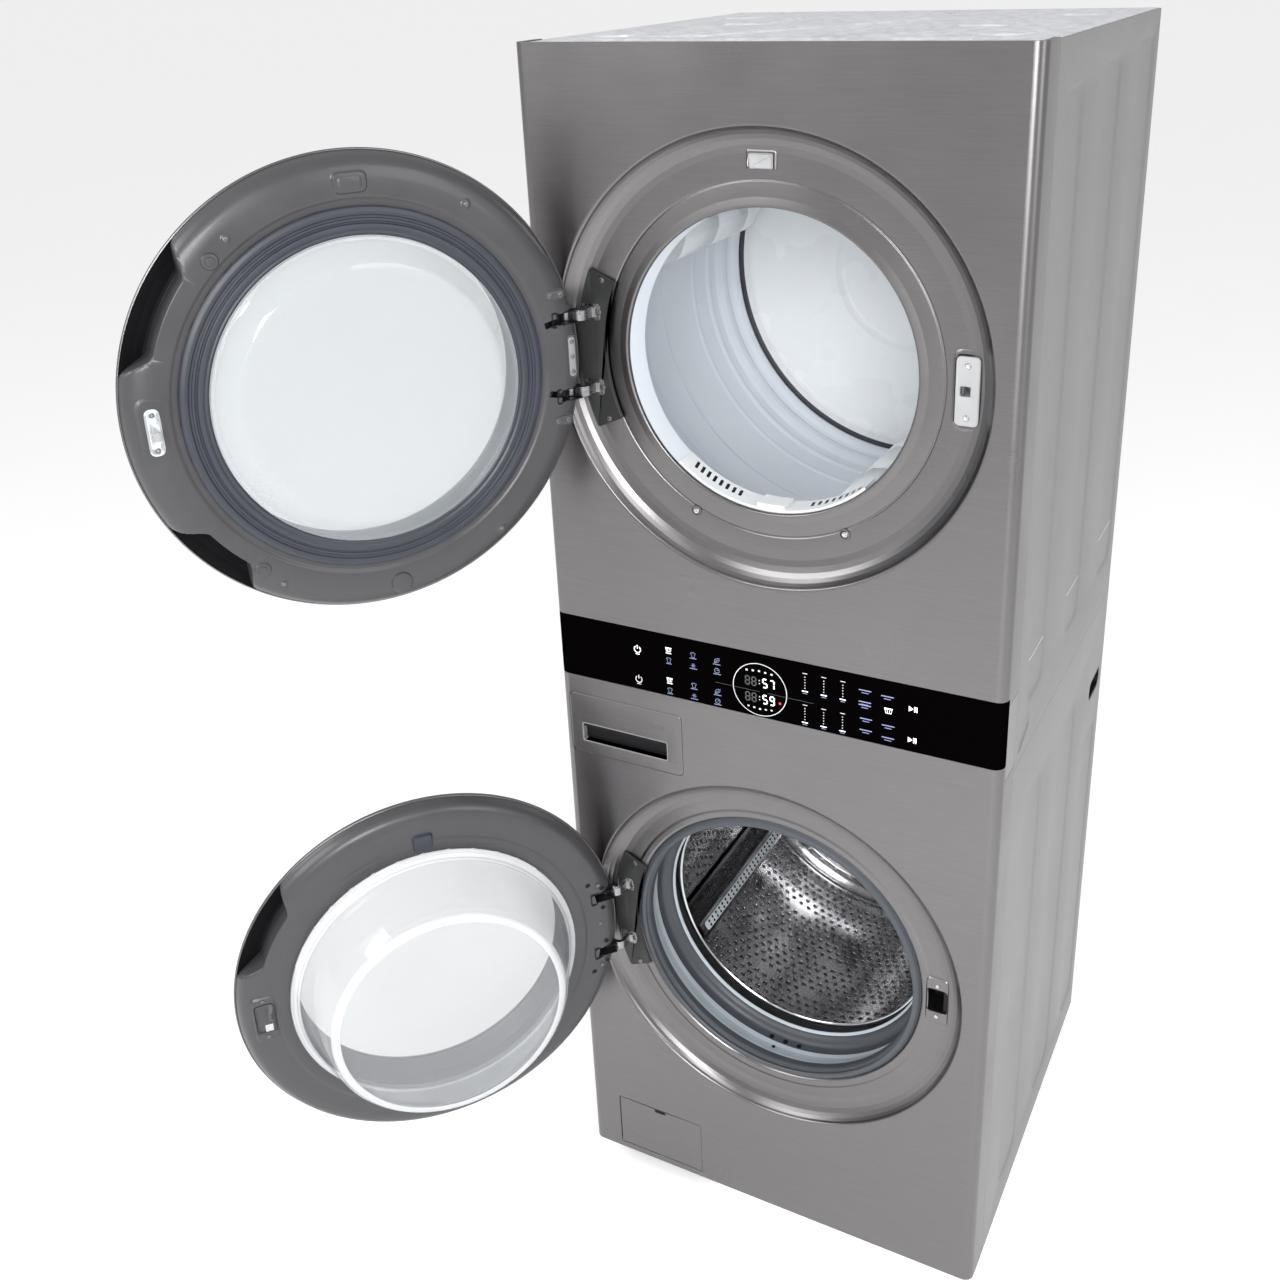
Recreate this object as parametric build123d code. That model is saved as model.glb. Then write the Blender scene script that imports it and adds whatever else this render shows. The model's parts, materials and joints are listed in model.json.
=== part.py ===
"""Stacked front-loading washer and vented dryer in one cabinet, both doors standing open.

Frame: X to the right, front of the cabinet towards -Y, Z up, millimetres.
Origin: on the floor, below the centre of the cabinet's footprint.
"""

import math
import os

from build123d import *

# ---- Driving dimensions -------------------------------------------------------------------
WIDTH = 686.0
DEPTH = 690.0
HEIGHT = 1889.0
FRONT = -DEPTH / 2
REAR = DEPTH / 2
SIDE = WIDTH / 2

SHEET = 1.0
CORNER_R = 15.0
WRAP = 60.0
CAP_START = 16.0
FOOT_GAP = 30.0
FOOT_PAD_R = 20.0
FOOT_STEM_R = 6.0
FOOT_X = 290.0
FOOT_Y = 290.0

GLASS_LOW = 974.0
GLASS_HIGH = 1074.0
CAP_LOW = 948.0
CAP_HIGH = 1064.0
SEAM_Z = 937.0

WASHER_Z = 541.0
DRYER_Z = 1486.0

HINGE_X = -283.0
HINGE_OUT = 10.0
HINGE_Y = FRONT - HINGE_OUT
HINGE_PIN_R = 3.0
ARM_OFFSET = 53.0
ARM_HALF = 7.0
SLOT_HALF = 9.5
DRYER_OPEN = 124.0
WASHER_OPEN = 131.0

DOOR_R = 299.0
RUNNING = 0.05

DRYER_DRUM_R = 325.0
DRYER_DRUM_FRONT = -272.0
DRYER_DRUM_REAR = 265.0
DRYER_HOLE_R = 207.0
LATCH_X = 267.5
LATCH_DROP = -3.0

WASHER_DRUM_R = 275.0
WASHER_DRUM_FRONT = -214.0
WASHER_DRUM_REAR = 232.0
WASHER_HOLE_R = 238.0
TUB_R = 292.0
TUB_FRONT = -248.0
TUB_REAR = 262.0
SHAFT_R = 15.0
LOCK_X = 263.0
LOCK_RISE = 4.0
SCREW_R = 1.8
DISH_SCREW_R = 245.0
DISH_R = 303.0

ROLLER_R = 35.0
ROLLER_ANGLE = 50.0
ROLLER_GAP = 0.4
MOTOR_X = 215.0
MOTOR_Z = 1150.0
MOTOR_R = 60.0
MOTOR_SHAFT_R = 6.0
PULLEY_R = 14.0
IDLER_R = 20.0
BELT_Y = 60.0
BELT_WIDTH = 8.0
BELT_THICK = 2.5
EXHAUST_X = -205.0
EXHAUST_Z = 1145.0
EXHAUST_R = 50.8

DRAWER_X = (-328.0, -136.0)
DRAWER_Z = (839.0, 941.0)
COVER_X = (-287.0, -130.0)
COVER_Z = (43.0, 145.0)
COVER_PIN_R = 1.5
COVER_PIN_Y = FRONT + 4.2
COVER_PIN_Z = COVER_Z[0] + 4.0
PUMP_X = -208.0
PUMP_Z = 96.0
PUMP_BORE_R = 31.0
GRIP_Y = (245.0, 325.0)
GRIP_Z = (765.0, 798.0)

nodes = {}


# ---- Helpers ------------------------------------------------------------------------------
def block(x, y, z):
    """Box between two limits on each axis."""
    size = (x[1] - x[0], y[1] - y[0], z[1] - z[0])
    middle = ((x[0] + x[1]) / 2, (y[0] + y[1]) / 2, (z[0] + z[1]) / 2)
    return Pos(*middle) * Box(*size)


def rod_x(y, z, radius, x_low, x_high):
    """Cylinder along X."""
    return Pos((x_low + x_high) / 2, y, z) * Rot(0, 90, 0) * Cylinder(radius, x_high - x_low)


def rod_y(x, z, radius, y_low, y_high):
    """Cylinder along Y."""
    return Pos(x, (y_low + y_high) / 2, z) * Rot(90, 0, 0) * Cylinder(radius, y_high - y_low)


def rod_z(x, y, radius, z_low, z_high):
    """Cylinder along Z."""
    return Pos(x, y, (z_low + z_high) / 2) * Cylinder(radius, z_high - z_low)


def tube_y(x, z, outer, inner, y_low, y_high):
    """Hollow cylinder along Y."""
    return rod_y(x, z, outer, y_low, y_high) - rod_y(x, z, inner, y_low - 1, y_high + 1)


def turned(outline):
    """Solid of revolution about Y from a closed outline of (radius, y) points."""
    face = make_face(Polyline(*outline, close=True))
    return revolve(face, Axis.Y, 360)


def unit(a, b):
    """Unit direction from a to b."""
    length = math.hypot(b[0] - a[0], b[1] - a[1])
    return ((b[0] - a[0]) / length, (b[1] - a[1]) / length)


def thick_line(points, thickness):
    """Outline of a sheet: the points, and the same line moved to its left by the thickness."""
    moved = []
    for i, point in enumerate(points):
        sides = []
        if i > 0:
            sides.append(unit(points[i - 1], point))
        if i < len(points) - 1:
            sides.append(unit(point, points[i + 1]))
        normals = [(d[1], -d[0]) for d in sides]
        mean = (sum(n[0] for n in normals), sum(n[1] for n in normals))
        length = math.hypot(*mean)
        mean = (mean[0] / length, mean[1] / length)
        reach = thickness / (mean[0] * normals[0][0] + mean[1] * normals[0][1])
        moved.append((point[0] + mean[0] * reach, point[1] + mean[1] * reach))
    return list(points) + moved[::-1]


def sheet_ring(points, thickness):
    """Revolved sheet; points run inwards, and the sheet grows towards +Y."""
    return turned(thick_line(points, thickness))


def wedge(angle_low, angle_high, reach, y_low, y_high):
    """Sector of a disc about Y, angles measured from +X towards +Z, for cutting rings."""
    middle = math.radians((angle_low + angle_high) / 2)
    half = math.radians((angle_high - angle_low) / 2)
    corners = [(0, 0)]
    for turn in (-half, 0, half):
        angle = middle + turn
        corners.append((reach * math.cos(angle), reach * math.sin(angle)))
    face = Plane.XZ * make_face(Polyline(*corners, close=True))
    return Pos(0, y_low, 0) * extrude(face, amount=-(y_high - y_low))


def polar(radius, angle):
    """X and Z of a point at an angle from +X towards +Z."""
    turn = math.radians(angle)
    return radius * math.cos(turn), radius * math.sin(turn)


def capsule_prism(x, z, width, height, radius, y_low, y_high):
    """Rounded rectangle in the XZ plane, extruded along Y."""
    face = Plane.XZ * Pos(x, z) * RectangleRounded(width, height, radius)
    return Pos(0, y_low, 0) * extrude(face, amount=-(y_high - y_low))


def screw(x, y, z, head_r, head, shank):
    """Cross-recess screw driven towards +Y, with its head's underside at y."""
    body = rod_y(x, z, head_r, y - head, y) + rod_y(x, z, SCREW_R, y, y + shank)
    slot = block((x - head_r * 0.6, x + head_r * 0.6), (y - head, y - head / 2), (z - 0.5, z + 0.5))
    cross = block((x - 0.5, x + 0.5), (y - head, y - head / 2), (z - head_r * 0.6, z + head_r * 0.6))
    return body - slot - cross


def screw_spots():
    """Every screw on the front: X, Y under the head, Z, head radius, head height, shank length."""
    spots = []
    for centre in (DRYER_Z, WASHER_Z):
        for angle in (157.8, 202.2):
            x, z = polar(258, angle)
            spots.append((x, FRONT + 17, centre + z, 4.5, 2.0, 7.5))
    for rise in (-33, 33):
        spots.append((LATCH_X, FRONT + 16.5, DRYER_Z + LATCH_DROP + rise, 4.0, 1.5, 7.5))
    for x in (-110, 110):
        z = DRYER_Z - math.sqrt(DISH_SCREW_R**2 - x**2)
        spots.append((x, FRONT + 22.2, z, 4.5, 2.0, 5.0))
    return spots


def without_screws(shape):
    """Cut the screws' clearance holes."""
    for x, y, z, _, _, shank in screw_spots():
        shape -= rod_y(x, z, SCREW_R + RUNNING, y - 0.5, y + shank + 0.5)
    return shape


def add(name, shape):
    """Keep a finished piece under its node name."""
    nodes[name] = shape


def wrap_outline(inset, y_end):
    """Face of the cabinet's front edge in plan: straight front, rounded corners, open to y_end."""
    x = SIDE - inset
    y = FRONT + inset
    path = FilletPolyline((-x, y_end), (-x, y), (x, y), (x, y_end), radius=CORNER_R - inset)
    return make_face([path, Line((x, y_end), (-x, y_end))])


def wrap_strip(outer_inset, thickness, y_end, z_low, z_high):
    """U-shaped sheet that follows the cabinet's front edge."""
    outer = wrap_outline(outer_inset, y_end)
    inner = wrap_outline(outer_inset + thickness, y_end + 5)
    return Pos(0, 0, z_low) * extrude(outer - inner, amount=z_high - z_low)


# ---- Cabinet ------------------------------------------------------------------------------
def side_panel(sign, z_low, z_high, with_grip):
    """Flat side sheet with folded rear, top and bottom edges."""
    y_low = FRONT + WRAP + 0.5
    y_high = REAR
    flange = 14.0
    outer = block((SIDE - flange, SIDE), (y_low, y_high), (z_low, z_high))
    hollow = block((SIDE - flange - 1, SIDE - SHEET), (y_low - 1, y_high - SHEET),
                   (z_low + SHEET, z_high - SHEET))
    panel = outer - hollow
    if with_grip:
        width = GRIP_Y[1] - GRIP_Y[0]
        height = GRIP_Z[1] - GRIP_Z[0]
        centre = (sum(GRIP_Y) / 2, sum(GRIP_Z) / 2)
        face = Plane.YZ * Pos(*centre) * RectangleRounded(width, height, height / 2 - 1)
        panel -= Pos(SIDE - 5, 0, 0) * extrude(face, amount=10)
    if sign < 0:
        panel = mirror(panel, about=Plane.YZ)
    return panel


def front_sheet(z_low, z_high, notch_low, notch_high, hole_r, centre_z):
    """Front sheet wrapped round both corners, with end-cap notches and a round hole."""
    sheet = wrap_strip(0, SHEET, FRONT + WRAP, z_low, z_high)
    notch_y = (FRONT + CAP_START - 0.5, FRONT + WRAP + 5)
    for sign in (-1, 1):
        x = sorted((sign * (SIDE - 6), sign * (SIDE + 6)))
        if notch_low is not None:
            sheet -= block(x, notch_y, (z_low - 1, notch_low))
        if notch_high is not None:
            sheet -= block(x, notch_y, (notch_high, z_high + 1))
    return sheet - rod_y(0, centre_z, hole_r, FRONT - 5, FRONT + 5)


def rim_flange(width, z_low):
    """Flange folded back along a front sheet's top or bottom edge."""
    full = Pos(0, 0, z_low) * extrude(wrap_outline(0, FRONT + WRAP), amount=SHEET)
    return full & block((-SIDE, SIDE), (FRONT, FRONT + width), (z_low, z_low + SHEET))


def at_front(shape, centre_z):
    """Move a piece turned about Y to the cabinet's front plane at a height."""
    return Pos(0, FRONT, centre_z) * shape


def cabinet_shell():
    """Base, sides, fronts, backs and top."""
    inner = SIDE - SHEET - 0.5
    pan = block((-inner, inner), (FRONT + 2, REAR - 2), (FOOT_GAP + 1, FOOT_GAP + 26))
    pan -= block((-inner + 1.5, inner - 1.5), (FRONT + 3.5, REAR - 3.5),
                 (FOOT_GAP + 2.5, FOOT_GAP + 30))
    pan -= block((COVER_X[0] - 8, COVER_X[1] + 8), (FRONT, FRONT + 60), (FOOT_GAP, FOOT_GAP + 30))
    for x in (-FOOT_X, FOOT_X):
        for y in (-FOOT_Y, FOOT_Y):
            pan += rod_z(x, y, 14, FOOT_GAP + 1, FOOT_GAP + 14)
            pan -= rod_z(x, y, FOOT_STEM_R + RUNNING, FOOT_GAP - 5, FOOT_GAP + 20)
    for x in (-170, 170):
        pan += rod_z(x, 20, 14, FOOT_GAP + 2, FOOT_GAP + 24)
        pan -= rod_z(x, 20, 9, FOOT_GAP + 8, FOOT_GAP + 30)
    pan &= Pos(0, 0, FOOT_GAP) * extrude(wrap_outline(1.5, REAR - 2), amount=60)
    # The pan rests on the washer side panels' bottom flanges.
    add("base_pan", Pos(0, 0, SHEET + 0.2) * pan)

    foot = rod_z(0, 0, FOOT_PAD_R, 0, 8) + rod_z(0, 0, FOOT_STEM_R, 8, 58)
    nut_face = RegularPolygon(11, 6)
    foot += Pos(0, 0, 20) * extrude(nut_face, amount=8)
    for name, x, y in (("front_left", -1, -1), ("front_right", 1, -1),
                       ("rear_left", -1, 1), ("rear_right", 1, 1)):
        add("foot_" + name, Pos(x * FOOT_X, y * FOOT_Y, 0) * foot)

    for side, sign in (("left", -1), ("right", 1)):
        add("washer_side_" + side, side_panel(sign, FOOT_GAP, SEAM_Z - 0.3, True))
        add("dryer_side_" + side, side_panel(sign, SEAM_Z + 0.3, HEIGHT - 3, False))

    top = block((-SIDE + 3, SIDE - 3), (FRONT + 9, REAR), (HEIGHT - 2.8, HEIGHT - 1.4))
    top += block((-SIDE + 15.5, SIDE - 15.5), (REAR - 1.2, REAR), (HEIGHT - 30, HEIGHT - 1.4))
    for x in (-210, 0, 210):
        rib = RectangleRounded(70, 500, 12)
        top += Pos(x, 20, HEIGHT - 1.4) * extrude(rib, amount=1.4)
    add("top_cover", top)


def front_panels():
    """Dryer and washer fronts, each with a stamped dish round its opening."""
    edge = [(DISH_R + 3, 0), (DISH_R, 0), (300, 5), (295, 14), (285, 20), (262, 22)]
    dish = edge + [(240, 22.5), (218, 21), (DRYER_HOLE_R, 19), (DRYER_HOLE_R - 2.5, 24)]
    sheet = front_sheet(GLASS_HIGH + 1, HEIGHT - 1, None, None, DISH_R, DRYER_Z)
    side_return = wrap_strip(0, SHEET, FRONT + WRAP, CAP_HIGH + 1, GLASS_HIGH + 2)
    side_return -= block((-SIDE - 1, SIDE + 1), (FRONT - 1, FRONT + CAP_START + 0.3),
                         (CAP_HIGH, GLASS_HIGH + 1))
    sheet += side_return
    sheet += rim_flange(8, HEIGHT - 1 - SHEET)
    panel = sheet + at_front(sheet_ring(dish, SHEET), DRYER_Z)
    panel -= block((LATCH_X - 14, LATCH_X + 14), (FRONT, FRONT + 40),
                   (DRYER_Z + LATCH_DROP - 20, DRYER_Z + LATCH_DROP + 20))
    panel -= block((-20, 12), (FRONT + 1, FRONT + 40), (DRYER_Z + 252, DRYER_Z + 274))
    add("dryer_front_panel", without_screws(panel))

    dish = edge + [(WASHER_HOLE_R, 22.5)]
    sheet = front_sheet(FOOT_GAP, GLASS_LOW - 1, None, CAP_LOW - 1, DISH_R, WASHER_Z)
    sheet += rim_flange(12, FOOT_GAP)
    panel = sheet + at_front(sheet_ring(dish, SHEET), WASHER_Z)
    panel -= capsule_prism(LOCK_X, WASHER_Z + LOCK_RISE, 31, 46, 6, FRONT - 2, FRONT + 40)
    gap = 1.0
    drawer_mid = (sum(DRAWER_X) / 2, sum(DRAWER_Z) / 2)
    drawer_size = (DRAWER_X[1] - DRAWER_X[0] + 2 * gap, DRAWER_Z[1] - DRAWER_Z[0] + 2 * gap)
    panel -= capsule_prism(*drawer_mid, *drawer_size, 9, FRONT - 2, FRONT + 3)
    cover_mid = (sum(COVER_X) / 2, sum(COVER_Z) / 2)
    cover_size = (COVER_X[1] - COVER_X[0] + 2 * gap, COVER_Z[1] - COVER_Z[0] + 2 * gap)
    panel -= capsule_prism(*cover_mid, *cover_size, 4, FRONT - 2, FRONT + 3)
    for x in (COVER_X[0] - 6, COVER_X[1] + 2):
        panel += block((x, x + 4), (FRONT + 0.5, FRONT + 7), (COVER_PIN_Z - 4, COVER_PIN_Z + 4))
    panel -= rod_x(COVER_PIN_Y, COVER_PIN_Z, COVER_PIN_R + RUNNING, COVER_X[0] - 7, COVER_X[1] + 7)
    add("washer_front_panel", without_screws(panel))


def rear_panels():
    """Rear sheets with the openings for the water inlets, drain, exhaust and power cable."""
    x = SIDE - 15.5
    washer = block((-x, x), (REAR - 1.2, REAR), (FOOT_GAP + 32, SEAM_Z - 1))
    for bolt_x in (-200, 200):
        for bolt_z in (370, 630):
            washer -= rod_y(bolt_x, bolt_z, 12, REAR - 5, REAR + 5)
    for inlet_x in (-250, -190):
        washer -= rod_y(inlet_x, 880, 17, REAR - 5, REAR + 5)
    washer -= rod_y(-100, 880, 16, REAR - 5, REAR + 5)
    add("washer_rear_panel", washer)

    dryer = block((-x, x), (REAR - 1.2, REAR), (SEAM_Z + 1, HEIGHT - 31))
    dryer -= rod_y(EXHAUST_X, EXHAUST_Z, EXHAUST_R + 3, REAR - 5, REAR + 5)
    dryer += rod_y(250, 1700, 20, REAR - 6, REAR + 4)
    dryer -= rod_y(250, 1700, 11, REAR - 9, REAR + 9)
    add("dryer_rear_panel", dryer)


def control_band():
    """Black glass across the front and the housing behind it, whose ends show on the sides."""
    glass = wrap_strip(0, 4, FRONT + CAP_START, GLASS_LOW, GLASS_HIGH)
    add("control_glass", glass)
    housing = wrap_strip(4.3, 2.5, FRONT + WRAP - 1, GLASS_LOW, GLASS_HIGH - 1)
    for sign in (-1, 1):
        x = sorted((sign * (SIDE - 6), sign * SIDE))
        cap = block(x, (FRONT + CAP_START + 0.3, FRONT + WRAP), (CAP_LOW, CAP_HIGH))
        housing += cap
    board = block((-230, 230), (FRONT + 12, FRONT + 14), (GLASS_LOW + 12, GLASS_HIGH - 14))
    for x in (-210, 0, 210):
        board += block((x - 8, x + 8), (FRONT + 6.8, FRONT + 12), (1018, 1030))
    housing += board
    add("control_housing", housing)


# ---- Doors --------------------------------------------------------------------------------
def swing(shape, angle):
    """Open a door piece about the hinge line."""
    return Pos(HINGE_X, HINGE_Y, 0) * Rot(0, 0, -angle) * Pos(-HINGE_X, -HINGE_Y, 0) * shape


def hinge(centre_z):
    """Plate on the dish with two goose-neck arms, each ending in an eye for the door's pin."""
    ring = tube_y(0, 0, 283, 236, 17, 20)
    plate = at_front(ring & wedge(156, 204, 400, 10, 30), centre_z)
    part = plate
    for offset in (-ARM_OFFSET, ARM_OFFSET):
        z = (centre_z + offset - ARM_HALF, centre_z + offset + ARM_HALF)
        arm = block((HINGE_X, -254), (HINGE_Y - 4, HINGE_Y + 4), z)
        arm += block((-262, -254), (HINGE_Y - 4, FRONT + 18), z)
        arm = fillet(arm.edges().filter_by(Axis.Z).group_by(Axis.X)[-1].group_by(Axis.Y)[0], 6)
        arm += rod_z(HINGE_X, HINGE_Y, 7, *z)
        foot = block((-272, -244), (FRONT + 14.5, FRONT + 18), (z[0] - 4, z[1] + 4))
        part += arm + foot
        part -= rod_z(HINGE_X, HINGE_Y, HINGE_PIN_R + RUNNING, z[0] - 1, z[1] + 1)
    return without_screws(part)


def hinge_slots(centre_z):
    """Space in a door frame that the arms sweep through."""
    slots = None
    for offset in (-ARM_OFFSET, ARM_OFFSET):
        z = (centre_z + offset - SLOT_HALF, centre_z + offset + SLOT_HALF)
        cut = block((-320, -247), (HINGE_Y + 1.5, FRONT + 40), z)
        cut += block((-294, -247), (HINGE_Y - 9, FRONT + 40), z)
        slots = cut if slots is None else slots + cut
    return slots


def hinge_pins(centre_z):
    """Boss blocks beside each slot, and the pins they hold."""
    blocks = None
    pins = None
    for offset in (-ARM_OFFSET, ARM_OFFSET):
        middle = centre_z + offset
        for side in (-1, 1):
            z = sorted((middle + side * SLOT_HALF, middle + side * (SLOT_HALF + 7)))
            boss = block((-287, -270), (HINGE_Y - 4, HINGE_Y + 13), z)
            blocks = boss if blocks is None else blocks + boss
        pin = rod_z(HINGE_X, HINGE_Y, HINGE_PIN_R, middle - SLOT_HALF - 6, middle + SLOT_HALF + 6)
        pins = pin if pins is None else pins + pin
    return blocks, pins


def pull_pocket(low, high):
    """Hand recess at the door's free edge, as the solid to cut away."""
    outline = [(262, 40), (262, -28.5), (271, -27), (283, -21), (292, -14), (296.2, -11), (296.2, 40)]
    return turned(outline) & wedge(low, high, 500, -50, 50)


def pocket_cup(low, high):
    """Cup that lines a hand recess: its bottom, back wall and ends."""
    outline = [(259.5, 12), (259.5, -31), (271, -29.5), (283, -23.3), (290.5, -17), (295, -12.5),
               (295, -9), (291, 1), (283, 8.5), (266, 12)]
    return (turned(outline) & wedge(low - 0.6, high + 0.6, 500, -50, 50)) - pull_pocket(low, high)


def door_ring(centre_z):
    """Outer trim ring, domed from the rim to the glass."""
    outline = [(DOOR_R, -HINGE_OUT), (DOOR_R, -13), (294, -21), (284, -28), (270, -35),
               (250, -41), (226, -46), (206, -48)]
    return at_front(sheet_ring(outline, 2.5), centre_z)


def door_glass(centre_z):
    """Shallow domed outer glass inside the trim ring."""
    outline = [(0, -50), (120, -49.5), (205, -47.8), (205, -43.8), (120, -45.5), (0, -46)]
    return at_front(turned(outline), centre_z)


def frame_ring(points, centre_z, pockets):
    """Inner frame with its hinge slots, pin bosses and hand recesses."""
    frame = at_front(turned(thick_line(points, -3.0)), centre_z)
    blocks, pins = hinge_pins(centre_z)
    frame = frame - hinge_slots(centre_z) + blocks
    frame -= pins
    for low, high in pockets:
        frame -= at_front(pull_pocket(low, high), centre_z)
        frame += at_front(pocket_cup(low, high), centre_z)
    return frame, pins


def dryer_door():
    """Six pieces that swing together on the upper hinge."""
    centre = DRYER_Z
    outline = [(296, -9), (292, 1), (284, 9), (266, 13), (246, 13), (240, 10), (233.5, 10)]
    frame, pins = frame_ring(outline, centre, ((12, 47), (-54, -26)))
    strike_z = centre + LATCH_DROP
    plate = capsule_prism(264, strike_z, 18, 54, 8, FRONT + 13, FRONT + 15)
    stem = block((264 - 3, 264 + 3), (FRONT + 15, FRONT + 34), (strike_z - 5, strike_z + 5))
    barb = block((264 - 5, 264 + 5), (FRONT + 29, FRONT + 33), (strike_z - 5, strike_z + 5))
    seal = [(233.2, 10), (233.2, 16), (226, 18), (222, 18), (220, 15.5), (214, 15.5), (212, 18.2),
            (206, 18), (199, 16.5), (197.5, 12), (197.5, 8), (226, 8)]
    window = [(0, 38), (160, 38), (171, 36), (190, 22), (197.2, 20), (197.2, 12), (192, 9),
              (189, 14), (170, 31), (160, 34), (0, 34)]
    pieces = {
        "dryer_door_ring": door_ring(centre),
        "dryer_door_glass": door_glass(centre),
        "dryer_door_frame": Compound([frame] + list(pins.solids())),
        "dryer_door_seal": at_front(turned(seal), centre),
        "dryer_door_window": at_front(turned(window), centre),
        "dryer_door_strike": plate + stem + barb,
    }
    for name, piece in pieces.items():
        add(name, swing(piece, DRYER_OPEN))


def washer_door():
    """Four pieces that swing together on the lower hinge, and the sprung hook they carry."""
    centre = WASHER_Z
    outline = [(296, -9), (292, 1), (284, 9), (266, 12), (236, 14), (222, 14)]
    frame, pins = frame_ring(outline, centre, ((14, 47),))
    hook_z = centre + LOCK_RISE
    pocket = capsule_prism(LOCK_X - 5, hook_z, 26, 50, 5, FRONT - 3, FRONT + 30)
    frame -= pocket
    well = capsule_prism(LOCK_X - 5, hook_z, 29, 53, 6, FRONT - 4, FRONT + 8)
    well -= capsule_prism(LOCK_X - 5, hook_z, 26, 50, 5, FRONT - 2, FRONT + 10)
    frame += well
    pivot_z = hook_z
    frame += block((LOCK_X - 14, LOCK_X - 9), (FRONT - 2, FRONT + 8), (pivot_z - 25, pivot_z - 8))
    frame += block((LOCK_X - 14, LOCK_X - 9), (FRONT - 2, FRONT + 8), (pivot_z + 8, pivot_z + 25))
    hook_pin = rod_z(LOCK_X - 11.5, FRONT + 4, 1.5, pivot_z - 12, pivot_z + 12)
    frame -= rod_z(LOCK_X - 11.5, FRONT + 4, 1.5 + RUNNING, pivot_z - 13, pivot_z + 13)
    hook = block((LOCK_X - 14, LOCK_X - 9), (FRONT + 1, FRONT + 34), (pivot_z - 6, pivot_z + 6))
    hook += block((LOCK_X - 14, LOCK_X - 3), (FRONT + 30, FRONT + 34), (pivot_z - 6, pivot_z + 6))
    hook = Compound([hook - hook_pin, hook_pin])
    bowl = [(221.7, 14), (221.7, 18), (214, 20), (206, 36), (190, 84), (178, 112), (166, 118),
            (0, 118), (0, 112), (164, 112), (173, 107), (184, 82), (200, 34), (209, 14)]
    pieces = {
        "washer_door_ring": door_ring(centre),
        "washer_door_glass": door_glass(centre),
        "washer_door_frame": Compound([frame] + list(pins.solids())),
        "washer_door_bowl": at_front(turned(bowl), centre),
        "washer_door_hook": hook,
    }
    for name, piece in pieces.items():
        add(name, swing(piece, WASHER_OPEN))


def door_fittings():
    """What the doors hang on and latch into, on the cabinet."""
    add("dryer_hinge", hinge(DRYER_Z))
    add("washer_hinge", hinge(WASHER_Z))

    z = DRYER_Z + LATCH_DROP
    catch = capsule_prism(LATCH_X, z, 30, 88, 6, FRONT + 16.5, FRONT + 19.5)
    catch += block((LATCH_X - 12.5, LATCH_X + 12.5), (FRONT + 18, FRONT + 50), (z - 19.5, z + 19.5))
    catch -= block((LATCH_X - 14.5, LATCH_X + 3.5), (FRONT + 10, FRONT + 46), (z - 7, z + 7))
    add("dryer_catch", without_screws(catch))

    z = WASHER_Z + LOCK_RISE
    lock = block((LOCK_X - 16, LOCK_X + 16), (FRONT + 23.6, FRONT + 62), (z - 32, z + 32))
    lock -= block((LOCK_X - 15.5, LOCK_X + 9), (FRONT + 20, FRONT + 58), (z - 20, z + 20))
    for rise in (-28, 28):
        lock -= rod_y(LOCK_X, z + rise, 1.9, FRONT + 20, FRONT + 40)
    add("washer_lock", lock)

    lens = block((-19.5, 11.5), (FRONT + 18, FRONT + 24), (DRYER_Z + 252.5, DRYER_Z + 273.5))
    add("drum_lamp", fillet(lens.edges().filter_by(Axis.Y), 2))

    screws = [screw(*spot) for spot in screw_spots()]
    add("cabinet_screws", Compound(screws))


# ---- Dryer works --------------------------------------------------------------------------
def below_belt(distance):
    """Point at a distance outside the middle of the belt's lower straight run."""
    along_x, along_z = unit((0, DRYER_Z), (MOTOR_X, MOTOR_Z))
    length = math.hypot(MOTOR_X, MOTOR_Z - DRYER_Z)
    lean = (DRYER_DRUM_R - PULLEY_R) / length
    across = math.sqrt(1 - lean**2)
    normal = (lean * along_x + across * along_z, lean * along_z - across * along_x)
    skin = 0.4 + BELT_THICK
    near_drum = (DRYER_DRUM_R + skin) * normal[0], DRYER_Z + (DRYER_DRUM_R + skin) * normal[1]
    near_motor = MOTOR_X + (PULLEY_R + skin) * normal[0], MOTOR_Z + (PULLEY_R + skin) * normal[1]
    return ((near_drum[0] + near_motor[0]) / 2 + distance * normal[0],
            (near_drum[1] + near_motor[1]) / 2 + distance * normal[1])


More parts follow.
